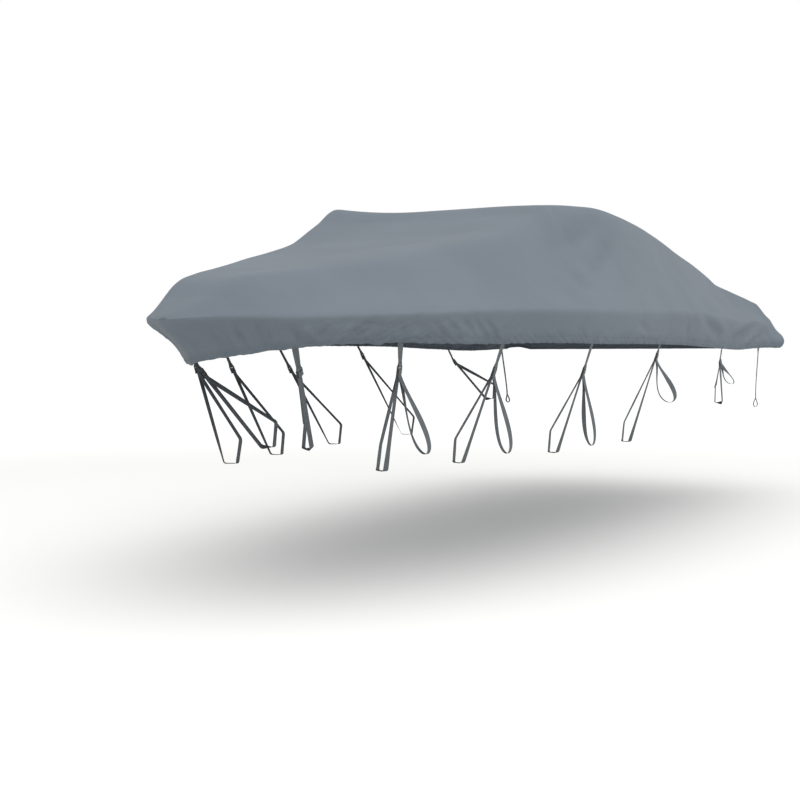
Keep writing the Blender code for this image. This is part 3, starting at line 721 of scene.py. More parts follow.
def addSternStrap(sign):
    seat, up, along, outward = hemSeat(sternStrap["hem"], sign)
    station, side, height = sternStrap["foot"]
    foot = place(station, sign * side, height)
    down = (foot - seat).normalized()
    out = Vector((0, sign, 0))
    neck = foot - down * sternStrap["eye"]
    belly = out * sternStrap["eyeWidth"] / 2
    back = -out * (webbing["thick"] + strapForm["gap"])
    clear = seat - up * strapForm["clear"]
    knots = [seat + up * strapForm["lap"], seat, clear, clear.lerp(neck, 0.1), neck,
             neck.lerp(foot, 0.35) + belly * 0.6, neck.lerp(foot, 0.75) + belly, foot,
             neck.lerp(foot, 0.75) - belly, neck.lerp(foot, 0.35) - belly * 0.6 + back,
             neck + back, neck + back - down * sternStrap["lap"]]
    facing = along * math.copysign(1, along.x)
    path, axes = throughKnots(knots, [facing] * 3 + [Vector((1, 0, 0))] * (len(knots) - 3))
    name = strapName(sign, "7")
    strap = ribbon(name, path, axes)
    finishPiece(strap, "webbing", name)
    addTack(seat, up, along, outward)


for sign in (-1, 1):
    for row in straps:
        addStrap(dict(zip(strapColumns, row)), sign)
    addSternStrap(sign)
print("tie-downs made")

# The cover is one sheet, from the gunwales up and from them down to the hem.
sheetForm = {
    "rowStep": 0.0110,  # m, along the gunwale
    "crownColumns": 24, "flankColumns": 18,  # on each side
    "crownPower": 1.25, "flankPower": 1.15,  # how much closer the columns get outwards
    "skirtRows": 18,
    "casing": 0.024,  # m, the doubled hem
    "casingRows": (0.88, 0.66, 0.44, 0.22, 0.0),  # shares of its height
    "casingPuff": 0.0016, "casingDip": 0.0008,  # m, how far its cord fills it out, and its seam sinks in
    "hemFold": 0.0018,  # m, across the two layers
    "cornerTurn": 40,  # passes that turn the skirt's direction gradually round the corners
    "softCrease": 76,  # smoothing passes at the gunwale
    "softShare": (0.25, 1.0),  # how much of them works forward and aft
    "softReach": (0.055, 0.115),  # m, how far from the gunwale they work, forward and aft
    "softFrom": (3.3, 4.4),  # stations between which forward turns into aft
    "softCorner": 0.12, "softTip": 0.09,  # m, how far they work from the stern's corners and the tip
    "sag": 0.0035,  # m, unevenness of the top
    "creaseShadeFrom": 0.0135, "creaseShadeFull": 0.019,  # m, creases deeper than this are painted darker as shade, and where it is full
    # where the top is eased: about a station and a side, half of each reach, passes
    "easing": ((2.16, 0.34, 0.64, 0.20, 14), (2.12, 0.30, 0.80, 0.16, 110), (4.55, 0.34, 0.90, 0.14, 60)),
    "tuckFade": 0.62,
    "tabReach": 0.05,  # m, how far a tab keeps the cloth flat
    "wear": 0.35, "wearTop": 0.06, "wearSkirt": 0.02,  # how strong, and how far above and below, m
    "dirtAndCreaseShade": 0.6, "soilHem": 0.075,  # how strong the painted shade in the creases is, and how far above the hem the dirt reaches, m
}

# Relief of the skirt. Each run gives stations and how strong it is there.
reliefForm = {
    "drawn": ((0, 0.15, 0.30, 0.75, 0.85, 5.28), (2.0, 2.4, 2.6, 2.2, 1.4, 1.2)),  # the tucks
    "busy": ((0, 0.2, 0.30, 0.7, 0.95, 1.2, 1.5, 2.2, 2.7, 3.4, 4.2, 5.28),
             (0.8, 1.4, 3.4, 3.6, 1.9, 1.2, 0.5, 0.6, 0.7, 0.7, 1.0, 1.3)),  # the crumpling
    "gathered": ((0, 0.4, 0.8, 1.3, 2.0, 2.9, 3.6, 4.4, 5.28),
                 (0.25, 0.5, 0.9, 1.15, 1.0, 0.85, 0.5, 0.8, 0.7)),  # the gathers of the hem
    "crumple": 0.0030, "crumpleSize": 0.066, "fineSize": 0.026, "fineShare": 0.85,
    "crumpleStart": 3.0,  # how soon below the gunwale it is at its full depth
    "tabHold": 0.75, "tabRise": 0.06,  # how much a tab flattens it, and how far above the hem, m
    "tuckHold": 0.8, "tuckRise": 0.05,  # the same for the tucks
    "gather": 0.0046, "gatherPitch": 0.050, "gatherSlant": 2.1, "gatherRise": 0.048,
    "wander": 9.0, "wanderSize": 0.30,  # how far the gathers' pitch strays, in radians, and over what length
    "mean": 0.55, "spread": 0.9, "most": 1.3, "spreadSize": 0.16,  # how strong they are
    "even": 0.55, "uneven": 1.1, "unevenSize": 0.027,  # shares of regular and irregular gathers
    "sagSize": 0.55, "smallSagSize": 0.22, "smallSagShare": 0.45,  # unevenness of the top
}

# Tucks of the skirt, each from a station and a share of the way down to another: side (port -1),
# how far it stands out (in where negative), half its width in metres.
tucks = (
    (0.000, 0.30, 0.020, 0.80, -1, 0.0050, 0.110), (0.000, 0.10, 0.020, 0.45, 1, 0.0025, 0.080),
    (0.080, 0.16, 0.320, 0.18, 1, 0.0036, 0.060), (0.060, 0.64, 0.320, 0.70, 1, -0.0060, 0.070),
    (0.804, 0.22, 0.928, 0.84, -1, -0.0030, 0.021), (0.838, 0.25, 0.955, 0.80, -1, 0.0022, 0.020),
    (0.873, 0.24, 0.986, 0.82, -1, -0.0030, 0.021), (0.905, 0.22, 1.018, 0.78, -1, 0.0022, 0.020),
    (0.946, 0.20, 1.066, 0.74, -1, -0.0028, 0.022), (0.980, 0.22, 1.100, 0.80, -1, 0.0024, 0.020),
    (1.012, 0.26, 1.150, 0.82, -1, -0.0032, 0.022), (1.040, 0.26, 1.185, 0.84, -1, 0.0026, 0.020),
    (1.067, 0.26, 1.222, 0.86, -1, -0.0034, 0.022), (1.120, 0.30, 1.252, 0.92, -1, 0.0030, 0.024),
    (1.330, 0.45, 1.270, 0.95, -1, 0.0026, 0.022), (1.410, 0.40, 1.300, 0.92, -1, -0.0026, 0.024),
    (0.105, 0.12, 0.112, 0.92, -1, 0.0032, 0.020), (0.128, 0.10, 0.140, 0.90, -1, -0.0026, 0.017),
    (0.150, 0.12, 0.160, 0.92, -1, 0.0026, 0.018), (0.192, 0.10, 0.200, 0.90, -1, -0.0026, 0.022),
    (0.232, 0.10, 0.245, 0.92, -1, 0.0030, 0.022), (0.062, 0.20, 0.066, 0.90, -1, -0.0026, 0.022),
    (0.285, 0.20, 0.345, 0.90, -1, -0.0036, 0.026), (0.330, 0.22, 0.400, 0.88, -1, 0.0034, 0.024),
    (0.440, 0.16, 0.360, 0.80, -1, -0.0034, 0.024), (0.500, 0.24, 0.420, 0.95, -1, 0.0042, 0.026),
    (0.470, 0.85, 0.560, 0.24, -1, -0.0036, 0.022), (0.520, 0.92, 0.610, 0.34, -1, 0.0036, 0.024),
    (0.520, 0.26, 0.610, 0.36, -1, -0.0036, 0.018), (0.640, 0.20, 0.590, 0.80, -1, 0.0032, 0.024),
    (0.690, 0.30, 0.730, 0.90, -1, -0.0034, 0.026), (0.780, 0.45, 0.735, 0.95, -1, 0.0030, 0.022),
    (1.700, 0.50, 1.900, 0.90, -1, -0.0030, 0.028), (1.800, 0.62, 1.935, 0.98, -1, 0.0026, 0.022),
    (2.130, 0.45, 1.985, 0.90, -1, -0.0032, 0.028), (2.060, 0.60, 1.970, 0.95, -1, 0.0028, 0.022),
    (2.360, 0.34, 2.650, 0.76, -1, -0.0040, 0.034), (2.420, 0.58, 2.790, 0.92, -1, 0.0036, 0.032),
    (2.560, 0.78, 2.820, 0.98, -1, -0.0030, 0.024), (3.060, 0.52, 2.870, 0.92, -1, -0.0036, 0.030),
    (2.980, 0.70, 2.860, 0.98, -1, 0.0030, 0.024), (3.170, 0.20, 3.260, 0.80, -1, -0.0026, 0.040),
    (3.250, 0.20, 3.330, 0.86, -1, 0.0020, 0.040), (3.420, 0.04, 3.960, 0.78, -1, -0.0125, 0.062),
    (3.700, 0.10, 4.080, 0.52, -1, 0.0070, 0.056), (3.780, 0.80, 4.020, 0.98, -1, 0.0040, 0.030),
    (4.060, 0.92, 4.960, 0.02, -1, -0.0190, 0.072), (4.160, 0.50, 4.640, 0.04, -1, 0.0060, 0.056),
    (4.300, 0.88, 4.840, 0.42, -1, 0.0070, 0.048), (4.520, 0.94, 4.960, 0.56, -1, -0.0080, 0.044),
    (4.720, 0.96, 5.060, 0.62, -1, 0.0060, 0.038), (5.020, 0.30, 5.120, 0.98, -1, -0.0060, 0.034),
    (0.110, 0.12, 0.120, 0.92, 1, 0.0032, 0.021), (0.160, 0.10, 0.175, 0.90, 1, -0.0030, 0.022),
    (0.240, 0.12, 0.262, 0.92, 1, 0.0034, 0.024), (0.350, 0.20, 0.315, 0.88, 1, -0.0034, 0.026),
    (0.450, 0.24, 0.520, 0.90, 1, 0.0038, 0.026), (0.600, 0.20, 0.700, 0.88, 1, -0.0036, 0.028),
    (0.860, 0.30, 0.745, 0.92, 1, 0.0034, 0.026), (1.060, 0.26, 1.215, 0.86, 1, -0.0036, 0.024),
    (1.120, 0.26, 1.250, 0.90, 1, 0.0034, 0.024), (1.400, 0.34, 1.290, 0.92, 1, -0.0032, 0.026),
    (1.760, 0.40, 1.920, 0.90, 1, -0.0034, 0.030), (2.160, 0.40, 1.990, 0.92, 1, 0.0034, 0.030),
    (2.520, 0.30, 2.800, 0.88, 1, -0.0044, 0.034), (3.120, 0.34, 2.880, 0.90, 1, 0.0042, 0.034),
    (3.360, 0.20, 3.460, 0.84, 1, -0.0050, 0.040), (3.620, 0.20, 4.020, 0.86, 1, -0.0076, 0.042),
    (4.120, 0.84, 4.500, 0.30, 1, -0.0080, 0.042), (4.300, 0.90, 4.760, 0.44, 1, 0.0064, 0.046),
    (4.560, 0.92, 4.980, 0.56, 1, -0.0070, 0.042),
)
# Finer creases of the top, where it is drawn over the windshield's corners and the shoulders.
fineCreases = (
    (2.60, -0.682, 1.84, -0.664, 0.0190, 0.046), (2.62, -0.742, 2.30, -0.740, -0.0040, 0.050),
    (2.09, -0.560, 2.14, -0.800, 0.0040, 0.060), (0.16, -0.165, 0.44, -0.350, 0.0090, 0.085),
    (0.16, 0.165, 0.44, 0.350, 0.0110, 0.085),
    (2.74, -0.708, 2.06, -0.788, 0.0190, 0.044), (2.00, -0.812, 1.86, -0.782, 0.0140, 0.055),
    (3.52, -0.870, 3.96, -0.910, -0.0050, 0.060), (3.30, -0.800, 3.80, -0.850, 0.0035, 0.070),
    (4.05, -0.880, 4.70, -0.800, -0.0050, 0.060), (4.55, -0.860, 5.10, -0.900, 0.0060, 0.060),
    (2.02, -0.590, 1.55, -0.640, 0.0040, 0.050), (2.04, -0.560, 1.62, -0.470, 0.0030, 0.050),
    (2.60, 0.700, 1.95, 0.690, 0.0050, 0.055), (2.72, 0.740, 2.15, 0.810, 0.0050, 0.055),
    (2.03, 0.590, 1.55, 0.650, 0.0040, 0.050), (3.60, 0.860, 4.05, 0.900, 0.0045, 0.060),
    (4.10, 0.880, 4.75, 0.790, -0.0050, 0.060), (4.60, 0.860, 5.12, 0.900, 0.0060, 0.060),
    (0.55, -0.250, 1.30, -0.420, 0.0030, 0.080), (0.60, 0.260, 1.35, 0.440, 0.0030, 0.080),
)


def points3(x, y, z):  # points from their coordinates, any of which may be a single number
    return np.stack(np.broadcast_arrays(x, y, z), axis=1)


def noiseAt(points, size, seed):  # smooth noise, -1 to 1, size metres from bump to bump
    return np.array([noise.noise(Vector((x / size + seed, y / size, z / size))) for x, y, z in points])


def gunwaleWalk(form):  # stations a step apart along the gunwale, and how far each is from the tip
    probe = np.linspace(0.0, 1.0, 6000) ** 2 * sternStation
    beam = column["beam"](probe)
    walked = np.concatenate([[0.0], np.cumsum(np.hypot(np.diff(probe), np.diff(beam)))])
    count = int(walked[-1] / form["rowStep"])
    return np.interp(np.linspace(0.0, walked[-1], count + 1), walked, probe), probe, walked


def topGrid(form):
    stations, probe, walked = gunwaleWalk(form)
    crown = 1 - (1 - np.linspace(0.0, 1.0, form["crownColumns"] + 1)) ** form["crownPower"]
    flank = 1 - (1 - np.linspace(0.0, 1.0, form["flankColumns"] + 1)[1:]) ** form["flankPower"]
    s = stations[1:, None]
    beam, rail = column["beam"](s), column["rail"](s)
    half = np.concatenate([rail * crown[None, :], rail + (beam - rail) * flank[None, :]], axis=1)
    side = np.concatenate([-half[:, :0:-1], half], axis=1)
    station = np.broadcast_to(s, side.shape).copy()
    height, inside = topHeight(station, side)
    for atStation, halfStation, atSide, halfSide, passes in form["easing"]:
        loose = np.sqrt(bump(station - atStation, halfStation) * bump(np.abs(side) - atSide, halfSide))
        for _ in range(passes):
            around = height[:-2, 1:-1] + height[2:, 1:-1]
            height[1:-1, 1:-1] += (around / 2 - height[1:-1, 1:-1]) * 0.7 * loose[1:-1, 1:-1]
    height = height - creaseDepth(station, side, fineCreases) * inside
    grid = np.stack([station - mountStation, side, height - mountHeight], axis=2)
    return grid, station, side, inside, probe, walked


def arcOutward(ring, passes):  # level and square to the ring, turning gradually round its corners
    ahead = np.roll(ring, -1, axis=0) - np.roll(ring, 1, axis=0)
    out = np.stack([ahead[:, 1], -ahead[:, 0]], axis=1)
    out /= np.linalg.norm(out, axis=1)[:, None]
    for _ in range(passes):
        out = (np.roll(out, 1, axis=0) + 2 * out + np.roll(out, -1, axis=0)) / 4
    out /= np.linalg.norm(out, axis=1)[:, None]
    return np.concatenate([out, np.zeros((len(out), 1))], axis=1)


def tabClear(station, side, reach):  # 1 at each tab, fading to 0 beside it
    near = np.zeros_like(station)
    for at in [row[1] for row in straps] + [sternStrap["hem"]]:
        near = np.maximum(near, bump(station - at, reach) * (np.abs(side) > 0.05))
    return near


def band(upper, lower):  # faces between two rings of vertices
    return list(zip(upper, lower, np.roll(lower, -1), np.roll(upper, -1)))


def skirtRelief(share, rim, form):  # how far the cloth stands out, at a share of the way to the hem
    depth, arc, sign, tabs = rim["depth"], rim["arc"], rim["sign"], rim["tabs"]
    down = share * depth  # metres below the gunwale
    fromHem = depth - down
    port = rim["side"] < 0
    out = np.zeros(len(depth))
    for fromS, fromV, toS, toV, tuckSide, deep, half in tucks:
        fromA, toA = np.interp((fromS, toS), rim["probe"], rim["walked"])
        here = np.interp((fromS, toS), rim["station"][port], depth[port])
        line = lineBump(rim["along"], down, fromA, fromV * here[0], toA, toV * here[1], half,
                        form["tuckFade"])
        out += deep * line * (sign == tuckSide)
    flow = points3(arc * 0.8 + down * 0.9, down * 0.55, 0.0)
    crumple = noiseAt(flow, reliefForm["crumpleSize"], 11.3)
    crumple += reliefForm["fineShare"] * noiseAt(flow, reliefForm["fineSize"], 5.9)
    loose = np.clip(share * reliefForm["crumpleStart"], 0.0, 1.0)
    loose = loose * (1 - reliefForm["tabHold"] * tabs * bump(fromHem, reliefForm["tabRise"]))
    out = rim["drawn"] * out * (1 - reliefForm["tuckHold"] * tabs * bump(fromHem, reliefForm["tuckRise"]))
    out = out + reliefForm["crumple"] * rim["busy"] * crumple * loose
    # the gathers of the hem, on a slant, of uneven pitch
    slanted = arc - reliefForm["gatherSlant"] * fromHem * sign
    phase = 2 * np.pi * slanted / reliefForm["gatherPitch"] + reliefForm["wander"] * rim["wander"]
    uneven = noiseAt(points3(slanted, down * 0.3, 0.0), reliefForm["unevenSize"], 4.4)
    pleats = reliefForm["even"] * np.sin(phase) + reliefForm["uneven"] * uneven
    rising = bump(np.maximum(fromHem - form["casing"], 0.0), reliefForm["gatherRise"])
    out += reliefForm["gather"] * rim["gathered"] * rim["strong"] * pleats * rising * (1 - tabs)
    if fromHem.max() < form["casing"] * 0.99:
        out += form["casingPuff"] * np.sin(np.pi * fromHem / form["casing"]) * (1 - 0.7 * tabs)
    elif fromHem.max() < form["casing"] * 1.3:
        out -= form["casingDip"] * (1 - tabs)
    return out


def coverSheet(form):
    grid, station, side, inside, probe, walked = topGrid(form)
    rows, cols = side.shape
    tip = np.array([[-mountStation, 0.0, column["crease"](0.0) - mountHeight]])
    topPoints = np.concatenate([tip, grid.reshape(-1, 3)])
    at = 1 + np.arange(rows * cols).reshape(rows, cols)
    ring, ringStation, ringSide = (
        np.concatenate([[first], values[:, 0], values[-1, 1:-1], values[::-1, -1]])
        for first, values in ((0, at), (0.0, station), (0.0, side)))
    crease = topPoints[ring]
    outward = arcOutward(crease, form["cornerTurn"])
    hem = hemPoint(ringStation, ringSide)
    count = len(ring)
    depth = np.linalg.norm(hem - crease, axis=1)
    # from the gunwale down to the casing, then down the casing
    upper = np.linspace(0.0, 1.0, form["skirtRows"] + 1)[1:]
    shares = [share * (1 - form["casing"] / depth) for share in upper]
    shares += [1 - form["casing"] * up / depth for up in form["casingRows"]]
    levels = [skirtPoint(crease, hem, outward, share, ringStation, ringSide) for share in shares]
    points = np.concatenate([topPoints] + levels)
    index = np.arange(len(levels) * count).reshape(len(levels), count)
    index = np.concatenate([ring[None, :], len(topPoints) + index])

    faces = [(0, at[0, c], at[0, c + 1]) for c in range(cols - 1)]
    a, b, c, d = at[:-1, :-1], at[1:, :-1], at[1:, 1:], at[:-1, 1:]
    faces += list(zip(a.ravel(), b.ravel(), c.ravel(), d.ravel()))
    topFaces = len(faces)
    for k in range(len(levels)):
        faces += band(index[k], index[k + 1])
    points = softened(points, index, at, ring, depth, shares, form)

    # fine relief, along the normals
    inside = np.concatenate([[0.0], inside.ravel()])
    relief = np.zeros(len(points))
    top = points[:len(topPoints)]
    small = reliefForm["smallSagShare"] * noiseAt(top, reliefForm["smallSagSize"], 7.7)
    relief[:len(top)] = form["sag"] * inside * (noiseAt(top, reliefForm["sagSize"], 3.1) + small)
    arc = np.concatenate([[0.0], np.cumsum(np.linalg.norm(np.diff(crease, axis=0), axis=1))])
    rim = {"depth": depth, "arc": arc, "side": ringSide, "station": ringStation, "probe": probe,
           "walked": walked, "along": np.interp(ringStation, probe, walked),
           "sign": np.where(ringSide < 0, -1, 1), "tabs": tabClear(ringStation, ringSide, form["tabReach"]),
           "wander": noiseAt(points3(arc, 0.0, 0.0), reliefForm["wanderSize"], 2.2)}
    strong = reliefForm["spread"] * noiseAt(points3(arc, 5.0, 0.0), reliefForm["spreadSize"], 9.4)
    rim["strong"] = np.clip(reliefForm["mean"] + strong, 0.0, reliefForm["most"])
    for name in ("drawn", "busy", "gathered"):
        rim[name] = np.interp(ringStation, *reliefForm[name])
    for k, share in enumerate(shares):
        relief[index[k + 1]] = skirtRelief(share, rim, form)
    points = points + meshNormals(points, faces) * relief[:, None]

    # the hem turned up inside
    normals = meshNormals(points, faces)[index[-1]]
    fold = form["hemFold"]
    lowest = points[index[-1]]
    way = lowest - points[index[-2]]
    way /= np.linalg.norm(way, axis=1)[:, None]
    under = [lowest + way * fold * 0.45 - normals * fold * 0.22,
             lowest + way * fold * 0.45 - normals * fold * 0.78,
             lowest - normals * fold, points[index[-3]] - normals * fold,
             points[index[-5]] - normals * fold * 0.9]
    extra = len(points) + np.arange(len(under) * count).reshape(len(under), count)
    points = np.concatenate([points] + under)
    index = np.concatenate([index, extra])
    for k in range(len(levels), len(index) - 1):
        faces += band(index[k], index[k + 1])
    return {"points": points, "faces": faces, "topFaces": topFaces, "index": index, "at": at,
            "inside": inside[1:], "arc": arc, "shares": shares, "depth": depth}


def softened(points, index, at, ring, depth, shares, form):  # rounds the gunwale and the stern's edges
    pairs = ((at[:-1], at[1:]), (at[:, :-1], at[:, 1:]), (index[:-1], index[1:]),
             (index, np.roll(index, -1, axis=1)))
    edges = np.concatenate([np.stack([a.ravel(), b.ravel()], axis=1) for a, b in pairs])
    edges = edges[edges[:, 0] != edges[:, 1]]
    strength = np.zeros(len(points))
    station = points[:, 0] + mountStation
    reach = np.interp(station, form["softFrom"], form["softReach"])
    # the skirt's rows, by their depth below the gunwale
    for k, share in enumerate(shares):
        strength[index[k + 1]] = bump(share * depth, reach[index[k + 1]])
    strength[ring] = 1.0
    # the top, by its distance from the gunwale in plan
    top = points[1:1 + at.size].reshape(*at.shape, 3)
    fromEdge = np.minimum.reduce([np.linalg.norm(top - edge, axis=2)
                                  for edge in (top[:, :1], top[:, -1:], top[-1:])])
    strength[at.ravel()] = np.maximum(strength[at.ravel()], bump(fromEdge.ravel(), reach[at.ravel()]))
    # round the stern's upright corners, all the way down to the casing, and round the tip
    corner = np.hypot(points[:, 0] - (sternStation - mountStation), np.abs(points[:, 1]) - sternBeam)
    strength = np.maximum(strength, bump(corner, form["softCorner"]))
    strength = np.maximum(strength, bump(np.linalg.norm(points - points[0], axis=1), form["softTip"]))
    strength *= np.interp(station, form["softFrom"], form["softShare"])
    degree = np.bincount(edges.ravel(), minlength=len(points)).astype(float)
    for _ in range(form["softCrease"]):
        total = np.zeros_like(points)
        np.add.at(total, edges[:, 0], points[edges[:, 1]])
        np.add.at(total, edges[:, 1], points[edges[:, 0]])
        points = points + (total / degree[:, None] - points) * (0.5 * strength)[:, None]
    return points


def meshNormals(points, faces):
    quads = np.array([f if len(f) == 4 else (*f, f[2]) for f in faces])
    cross = np.cross(points[quads[:, 2]] - points[quads[:, 0]], points[quads[:, 3]] - points[quads[:, 1]])
    flat = quads[:, 2] == quads[:, 3]
    tri = quads[flat]
    cross[flat] = np.cross(points[tri[:, 1]] - points[tri[:, 0]], points[tri[:, 2]] - points[tri[:, 0]])
    normals = np.zeros_like(points)
    for k in range(4):
        np.add.at(normals, quads[:, k], cross)
    return normals / np.maximum(np.linalg.norm(normals, axis=1), 1e-12)[:, None]


def cutMap(mesh, sheet, downs, form):  # the cut laid flat: the top by its own size, the skirt by the gunwale
    points, index, at, arc = (sheet[key] for key in ("points", "index", "at", "arc"))
    flat, skirt = np.zeros((len(points), 2)), np.zeros((len(points), 2))
    top = points[at]
    across = np.concatenate([np.zeros((at.shape[0], 1)),
                             np.cumsum(np.linalg.norm(np.diff(top, axis=1), axis=2), axis=1)], axis=1)
    across -= across[:, at.shape[1] // 2][:, None]
    flat[at.ravel(), 0] = top[:, :, 0].ravel()
    flat[at.ravel(), 1] = across.ravel()
    flat[0] = (-mountStation, 0.0)
    for k, down in enumerate(downs):
        skirt[index[k], 0] = arc
        skirt[index[k], 1] = down
    vertexOf = np.zeros(len(mesh.loops), dtype=np.int64)
    mesh.loops.foreach_get("vertex_index", vertexOf)
    first = mesh.polygons[sheet["topFaces"]].loop_start
    uv = np.where((np.arange(len(vertexOf)) < first)[:, None], flat[vertexOf], skirt[vertexOf])
    # the faces that close the ring at the tip run on, instead of back to its start
    closing = arc[-1] + form["rowStep"]
    perFace = uv[first:, 0].reshape(-1, 4)
    wrap = (perFace.max(axis=1) - perFace.min(axis=1)) > closing / 2
    perFace[wrap] = np.where(perFace[wrap] < closing / 2, perFace[wrap] + closing, perFace[wrap])
    uv[first:, 0] = perFace.ravel()
    mesh.uv_layers.new(name="cut").data.foreach_set("uv", uv.astype(np.float32).ravel())


def addCover(form):
    sheet = coverSheet(form)
    points, index, at, depth = (sheet[key] for key in ("points", "index", "at", "depth"))
    made = newObject("coverSheet", points, sheet["faces"], clothFinish)
    downs = [0 * depth] + [share * depth for share in sheet["shares"]]
    downs += [depth + further for further in (0.001, 0.002, 0.004, 0.010, 0.016)]
    cutMap(made.data, sheet, downs, form)
    # where it rubs, where dirt settles along the hem, and painted shade in the deepest creases
    wear, dirtAndCreaseShade = np.zeros(len(points)), np.zeros(len(points))
    wear[at.ravel()] = form["wear"] * bump(sheet["inside"] * topForm["straight"], form["wearTop"])
    # painted shade along the deepest creases, fuller the deeper the crease
    deep = [row for row in fineCreases if row[4] > form["creaseShadeFrom"]]
    top = points[at]
    creaseShade = creaseDepth(top[:, :, 0] + mountStation, top[:, :, 1], deep) / form["creaseShadeFull"]
    dirtAndCreaseShade[at.ravel()] = form["dirtAndCreaseShade"] * np.minimum(creaseShade, 1.0).ravel()
    for k, down in enumerate(downs):
        wear[index[k]] = np.maximum(wear[index[k]], form["wear"] * bump(down, form["wearSkirt"]))
        dirtAndCreaseShade[index[k]] = bump(np.maximum(depth - down, 0.0), form["soilHem"])
    for name, values in (("wear", wear), ("dirtAndCreaseShade", dirtAndCreaseShade)):
        layer = made.data.attributes.new(name, "FLOAT", "POINT")
        layer.data.foreach_set("value", values.astype(np.float32))
    seam = index[form["skirtRows"]]
    return made, points[seam], meshNormals(points, sheet["faces"])[seam]


cover, stitchLine, stitchNormals = addCover(sheetForm)
print("cover made,", len(cover.data.polygons), "faces")

sewing = {
    "pitch": 0.0046, "stitch": 0.0034, "thread": 0.0005,
    "tackPitch": 0.0026, "tackStitch": 0.0021, "tackThread": 0.0006,
    "wide": 0.0095, "high": 0.0065,  # half the box sewn through each tab
    "step": 0.003, "proud": 0.3,  # how much of its thickness a thread stands proud
    "probe": 0.02,  # m, how far outside the cloth the needle starts
}


def stitchTree(finish):  # stitches along a line: each a slim bead of thread, a pitch apart
    tree = bpy.data.node_groups.new("stitches", "GeometryNodeTree")
    tree.interface.new_socket("Line", in_out="INPUT", socket_type="NodeSocketGeometry")
    for label in ("Pitch", "Stitch", "Thread"):
        tree.interface.new_socket(label, in_out="INPUT", socket_type="NodeSocketFloat")
    tree.interface.new_socket("Sewing", in_out="OUTPUT", socket_type="NodeSocketGeometry")
    start = node(tree, "NodeGroupInput").outputs
    curve = node(tree, "GeometryNodeMeshToCurve", {"Mesh": start["Line"]})
    dots = node(tree, "GeometryNodeResampleCurve", {"Curve": curve.outputs[0], "Length": start["Pitch"]},
                mode="LENGTH")
    bead = node(tree, "GeometryNodeMeshUVSphere", {"Segments": 4, "Rings": 4, "Radius": 0.5})
    tangent = node(tree, "GeometryNodeInputTangent")
    turn = node(tree, "FunctionNodeAlignRotationToVector", {"Vector": tangent.outputs[0]}, axis="Z")
    size = node(tree, "ShaderNodeCombineXYZ", {"X": start["Thread"], "Y": start["Thread"],
                "Z": start["Stitch"]})
    beads = node(tree, "GeometryNodeInstanceOnPoints", {"Points": dots.outputs[0],
                 "Instance": bead.outputs[0], "Rotation": turn.outputs[0], "Scale": size.outputs[0]})
    real = node(tree, "GeometryNodeRealizeInstances", {0: beads.outputs[0]})
    dressed = node(tree, "GeometryNodeSetMaterial", {"Geometry": real.outputs[0], "Material": finish})
    node(tree, "NodeGroupOutput", {0: dressed.outputs[0]})
    return tree


def sew(name, lines, finish, closed=False, **sizes):  # sizes: Pitch, Stitch and Thread
    verts, edges = [], []
    for line in lines:
        first = len(verts)
        verts += [tuple(p) for p in line]
        edges += [(first + k, first + k + 1) for k in range(len(line) - 1)]
        if closed:
            edges.append((first + len(line) - 1, first))
    mesh = bpy.data.meshes.new(name)
    mesh.from_pydata(verts, edges, [])
    made = bpy.data.objects.new(name, mesh)
    bpy.context.collection.objects.link(made)
    maker = made.modifiers.new("stitches", "NODES")
    maker.node_group = stitchTree(finish)
    for item in maker.node_group.interface.items_tree:
        if item.in_out == "INPUT" and item.name in sizes:
            maker[item.identifier] = sizes[item.name]
    bakeModifiers(made, name)
    made.data.shade_smooth()
    return made


def tackLines(centre, up, along):  # a box with a cross in it, sewn through hem and tab
    corners = [centre + along * x * sewing["wide"] + up * z * sewing["high"]
               for x, z in ((-1, -1), (1, -1), (1, 1), (-1, 1))]
    lines = []
    for a, b in ((0, 1), (1, 2), (2, 3), (3, 0), (0, 2), (1, 3)):
        count = math.ceil((corners[b] - corners[a]).length / sewing["step"])
        lines.append([corners[a].lerp(corners[b], k / count) for k in range(count + 1)])
    return lines


def landed(line, outside, surface):  # the line moved onto the cloth
    lift = outside * sewing["thread"] * sewing["proud"]
    hits = [surface.ray_cast(point + outside * sewing["probe"], -outside, 0.05) for point in line]
    return [(hit[0] or point) + lift for hit, point in zip(hits, line)]


surface = BVHTree.FromPolygons([v.co for v in cover.data.vertices],
                               [p.vertices[:] for p in cover.data.polygons])
hemLine = stitchLine + stitchNormals * sewing["thread"] * sewing["proud"]
hemSewing = sew("hemSewing", [hemLine], hemThread, closed=True, Pitch=sewing["pitch"],
                Stitch=sewing["stitch"], Thread=sewing["thread"])
tackRuns = []
for centre, up, along in tackPlaces:
    outside = up.cross(along).normalized()
    outside *= math.copysign(1, outside.y * centre.y)
    tackRuns += [landed(line, outside, surface) for line in tackLines(centre, up, along)]
tackSewing = sew("tackSewing", tackRuns, tackThread, Pitch=sewing["tackPitch"],
                 Stitch=sewing["tackStitch"], Thread=sewing["tackThread"])
finishPiece(cover, "cloth", "cover")
finishPiece(hemSewing, "cloth")
finishPiece(tackSewing, "webbing")
print("sewing done")

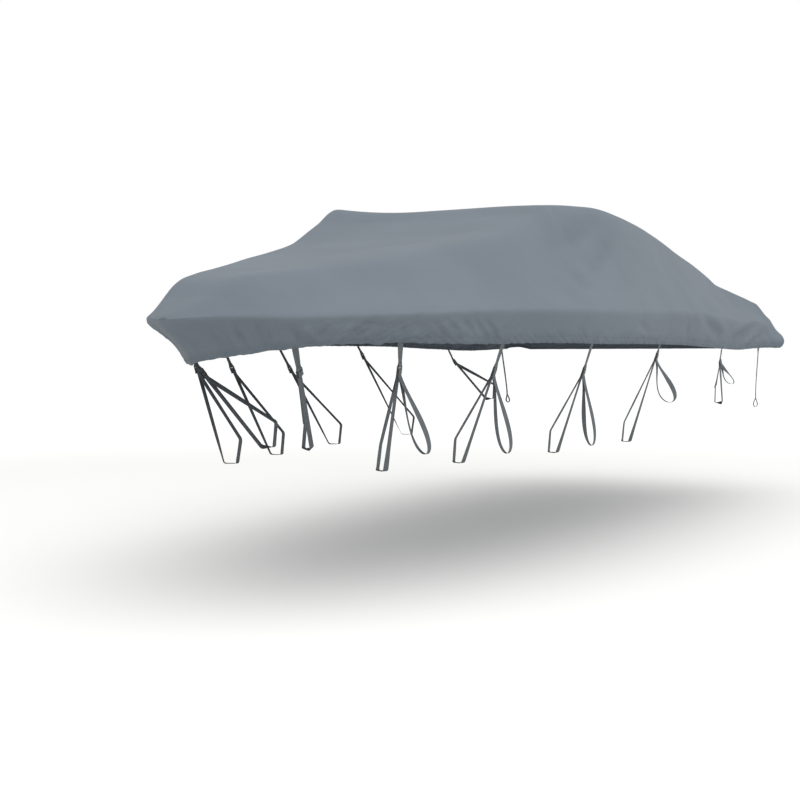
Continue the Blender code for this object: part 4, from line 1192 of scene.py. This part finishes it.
studio = {
    "floor": "#E6E6E4",
    "backdrop": "#FFFFFF",
    "fades": (4.5, 9.5),  # m from the middle, where the floor turns into the lit backdrop
    "reach": 60.0,
    "sky": 1.0,
    "key": {"place": (-2.2, -2.6, 6.0), "aim": (-0.2, 0.0, -0.4), "size": 12.0, "power": 500.0},
    "side": {"place": (1.2, -8.0, 0.6), "aim": (-0.2, -0.6, -0.6), "size": 2.4, "power": 60.0},
}


def paintedFloor(values):  # matt studio paint, with the lit backdrop taking over from it further out
    made, tree, shader = newMaterial("mattPaint")
    where = node(tree, "ShaderNodeTexCoord").outputs["Object"]
    away = node(tree, "ShaderNodeVectorMath", {0: where}, operation="LENGTH").outputs["Value"]
    far = node(tree, "ShaderNodeMapRange", {0: away, 1: values["fades"][0], 2: values["fades"][1]},
               interpolation_type="SMOOTHSTEP").outputs[0]
    paint = node(tree, "ShaderNodeMix", {0: far, 6: linearColour(values["floor"]),
                 7: linearColour("#000000")}, data_type="RGBA").outputs[2]
    setInputs(tree, shader, {"Base Color": paint, "Emission Strength": far, "Roughness": 0.9,
              "Emission Color": linearColour(values["backdrop"])})
    return made


def addFloor(values):
    corners = [(x * values["reach"], y * values["reach"], -mountHeight)
               for x, y in ((-1, -1), (1, -1), (1, 1), (-1, 1))]
    newObject("floor", corners, [(0, 1, 2, 3)], paintedFloor(values))


def addLight(name, values):
    data = bpy.data.lights.new(name, "AREA")
    data.shape, data.size, data.energy = "SQUARE", values["size"], values["power"]
    light = bpy.data.objects.new(name, data)
    light.location = values["place"]
    way = Vector(values["aim"]) - Vector(values["place"])
    light.rotation_euler = way.to_track_quat("-Z", "Y").to_euler()
    bpy.context.collection.objects.link(light)


def lightWorld(strength):
    world = bpy.data.worlds.new("studio")
    world.use_nodes = True
    background = world.node_tree.nodes["Background"]
    setInputs(world.node_tree, background, {"Color": (1.0, 1.0, 1.0, 1.0), "Strength": strength})
    bpy.context.scene.world = world


lightWorld(studio["sky"])
bpy.context.scene.view_settings.view_transform = "Standard"
addFloor(studio)
for name in ("key", "side"):
    addLight(name, studio[name])
print("studio set")
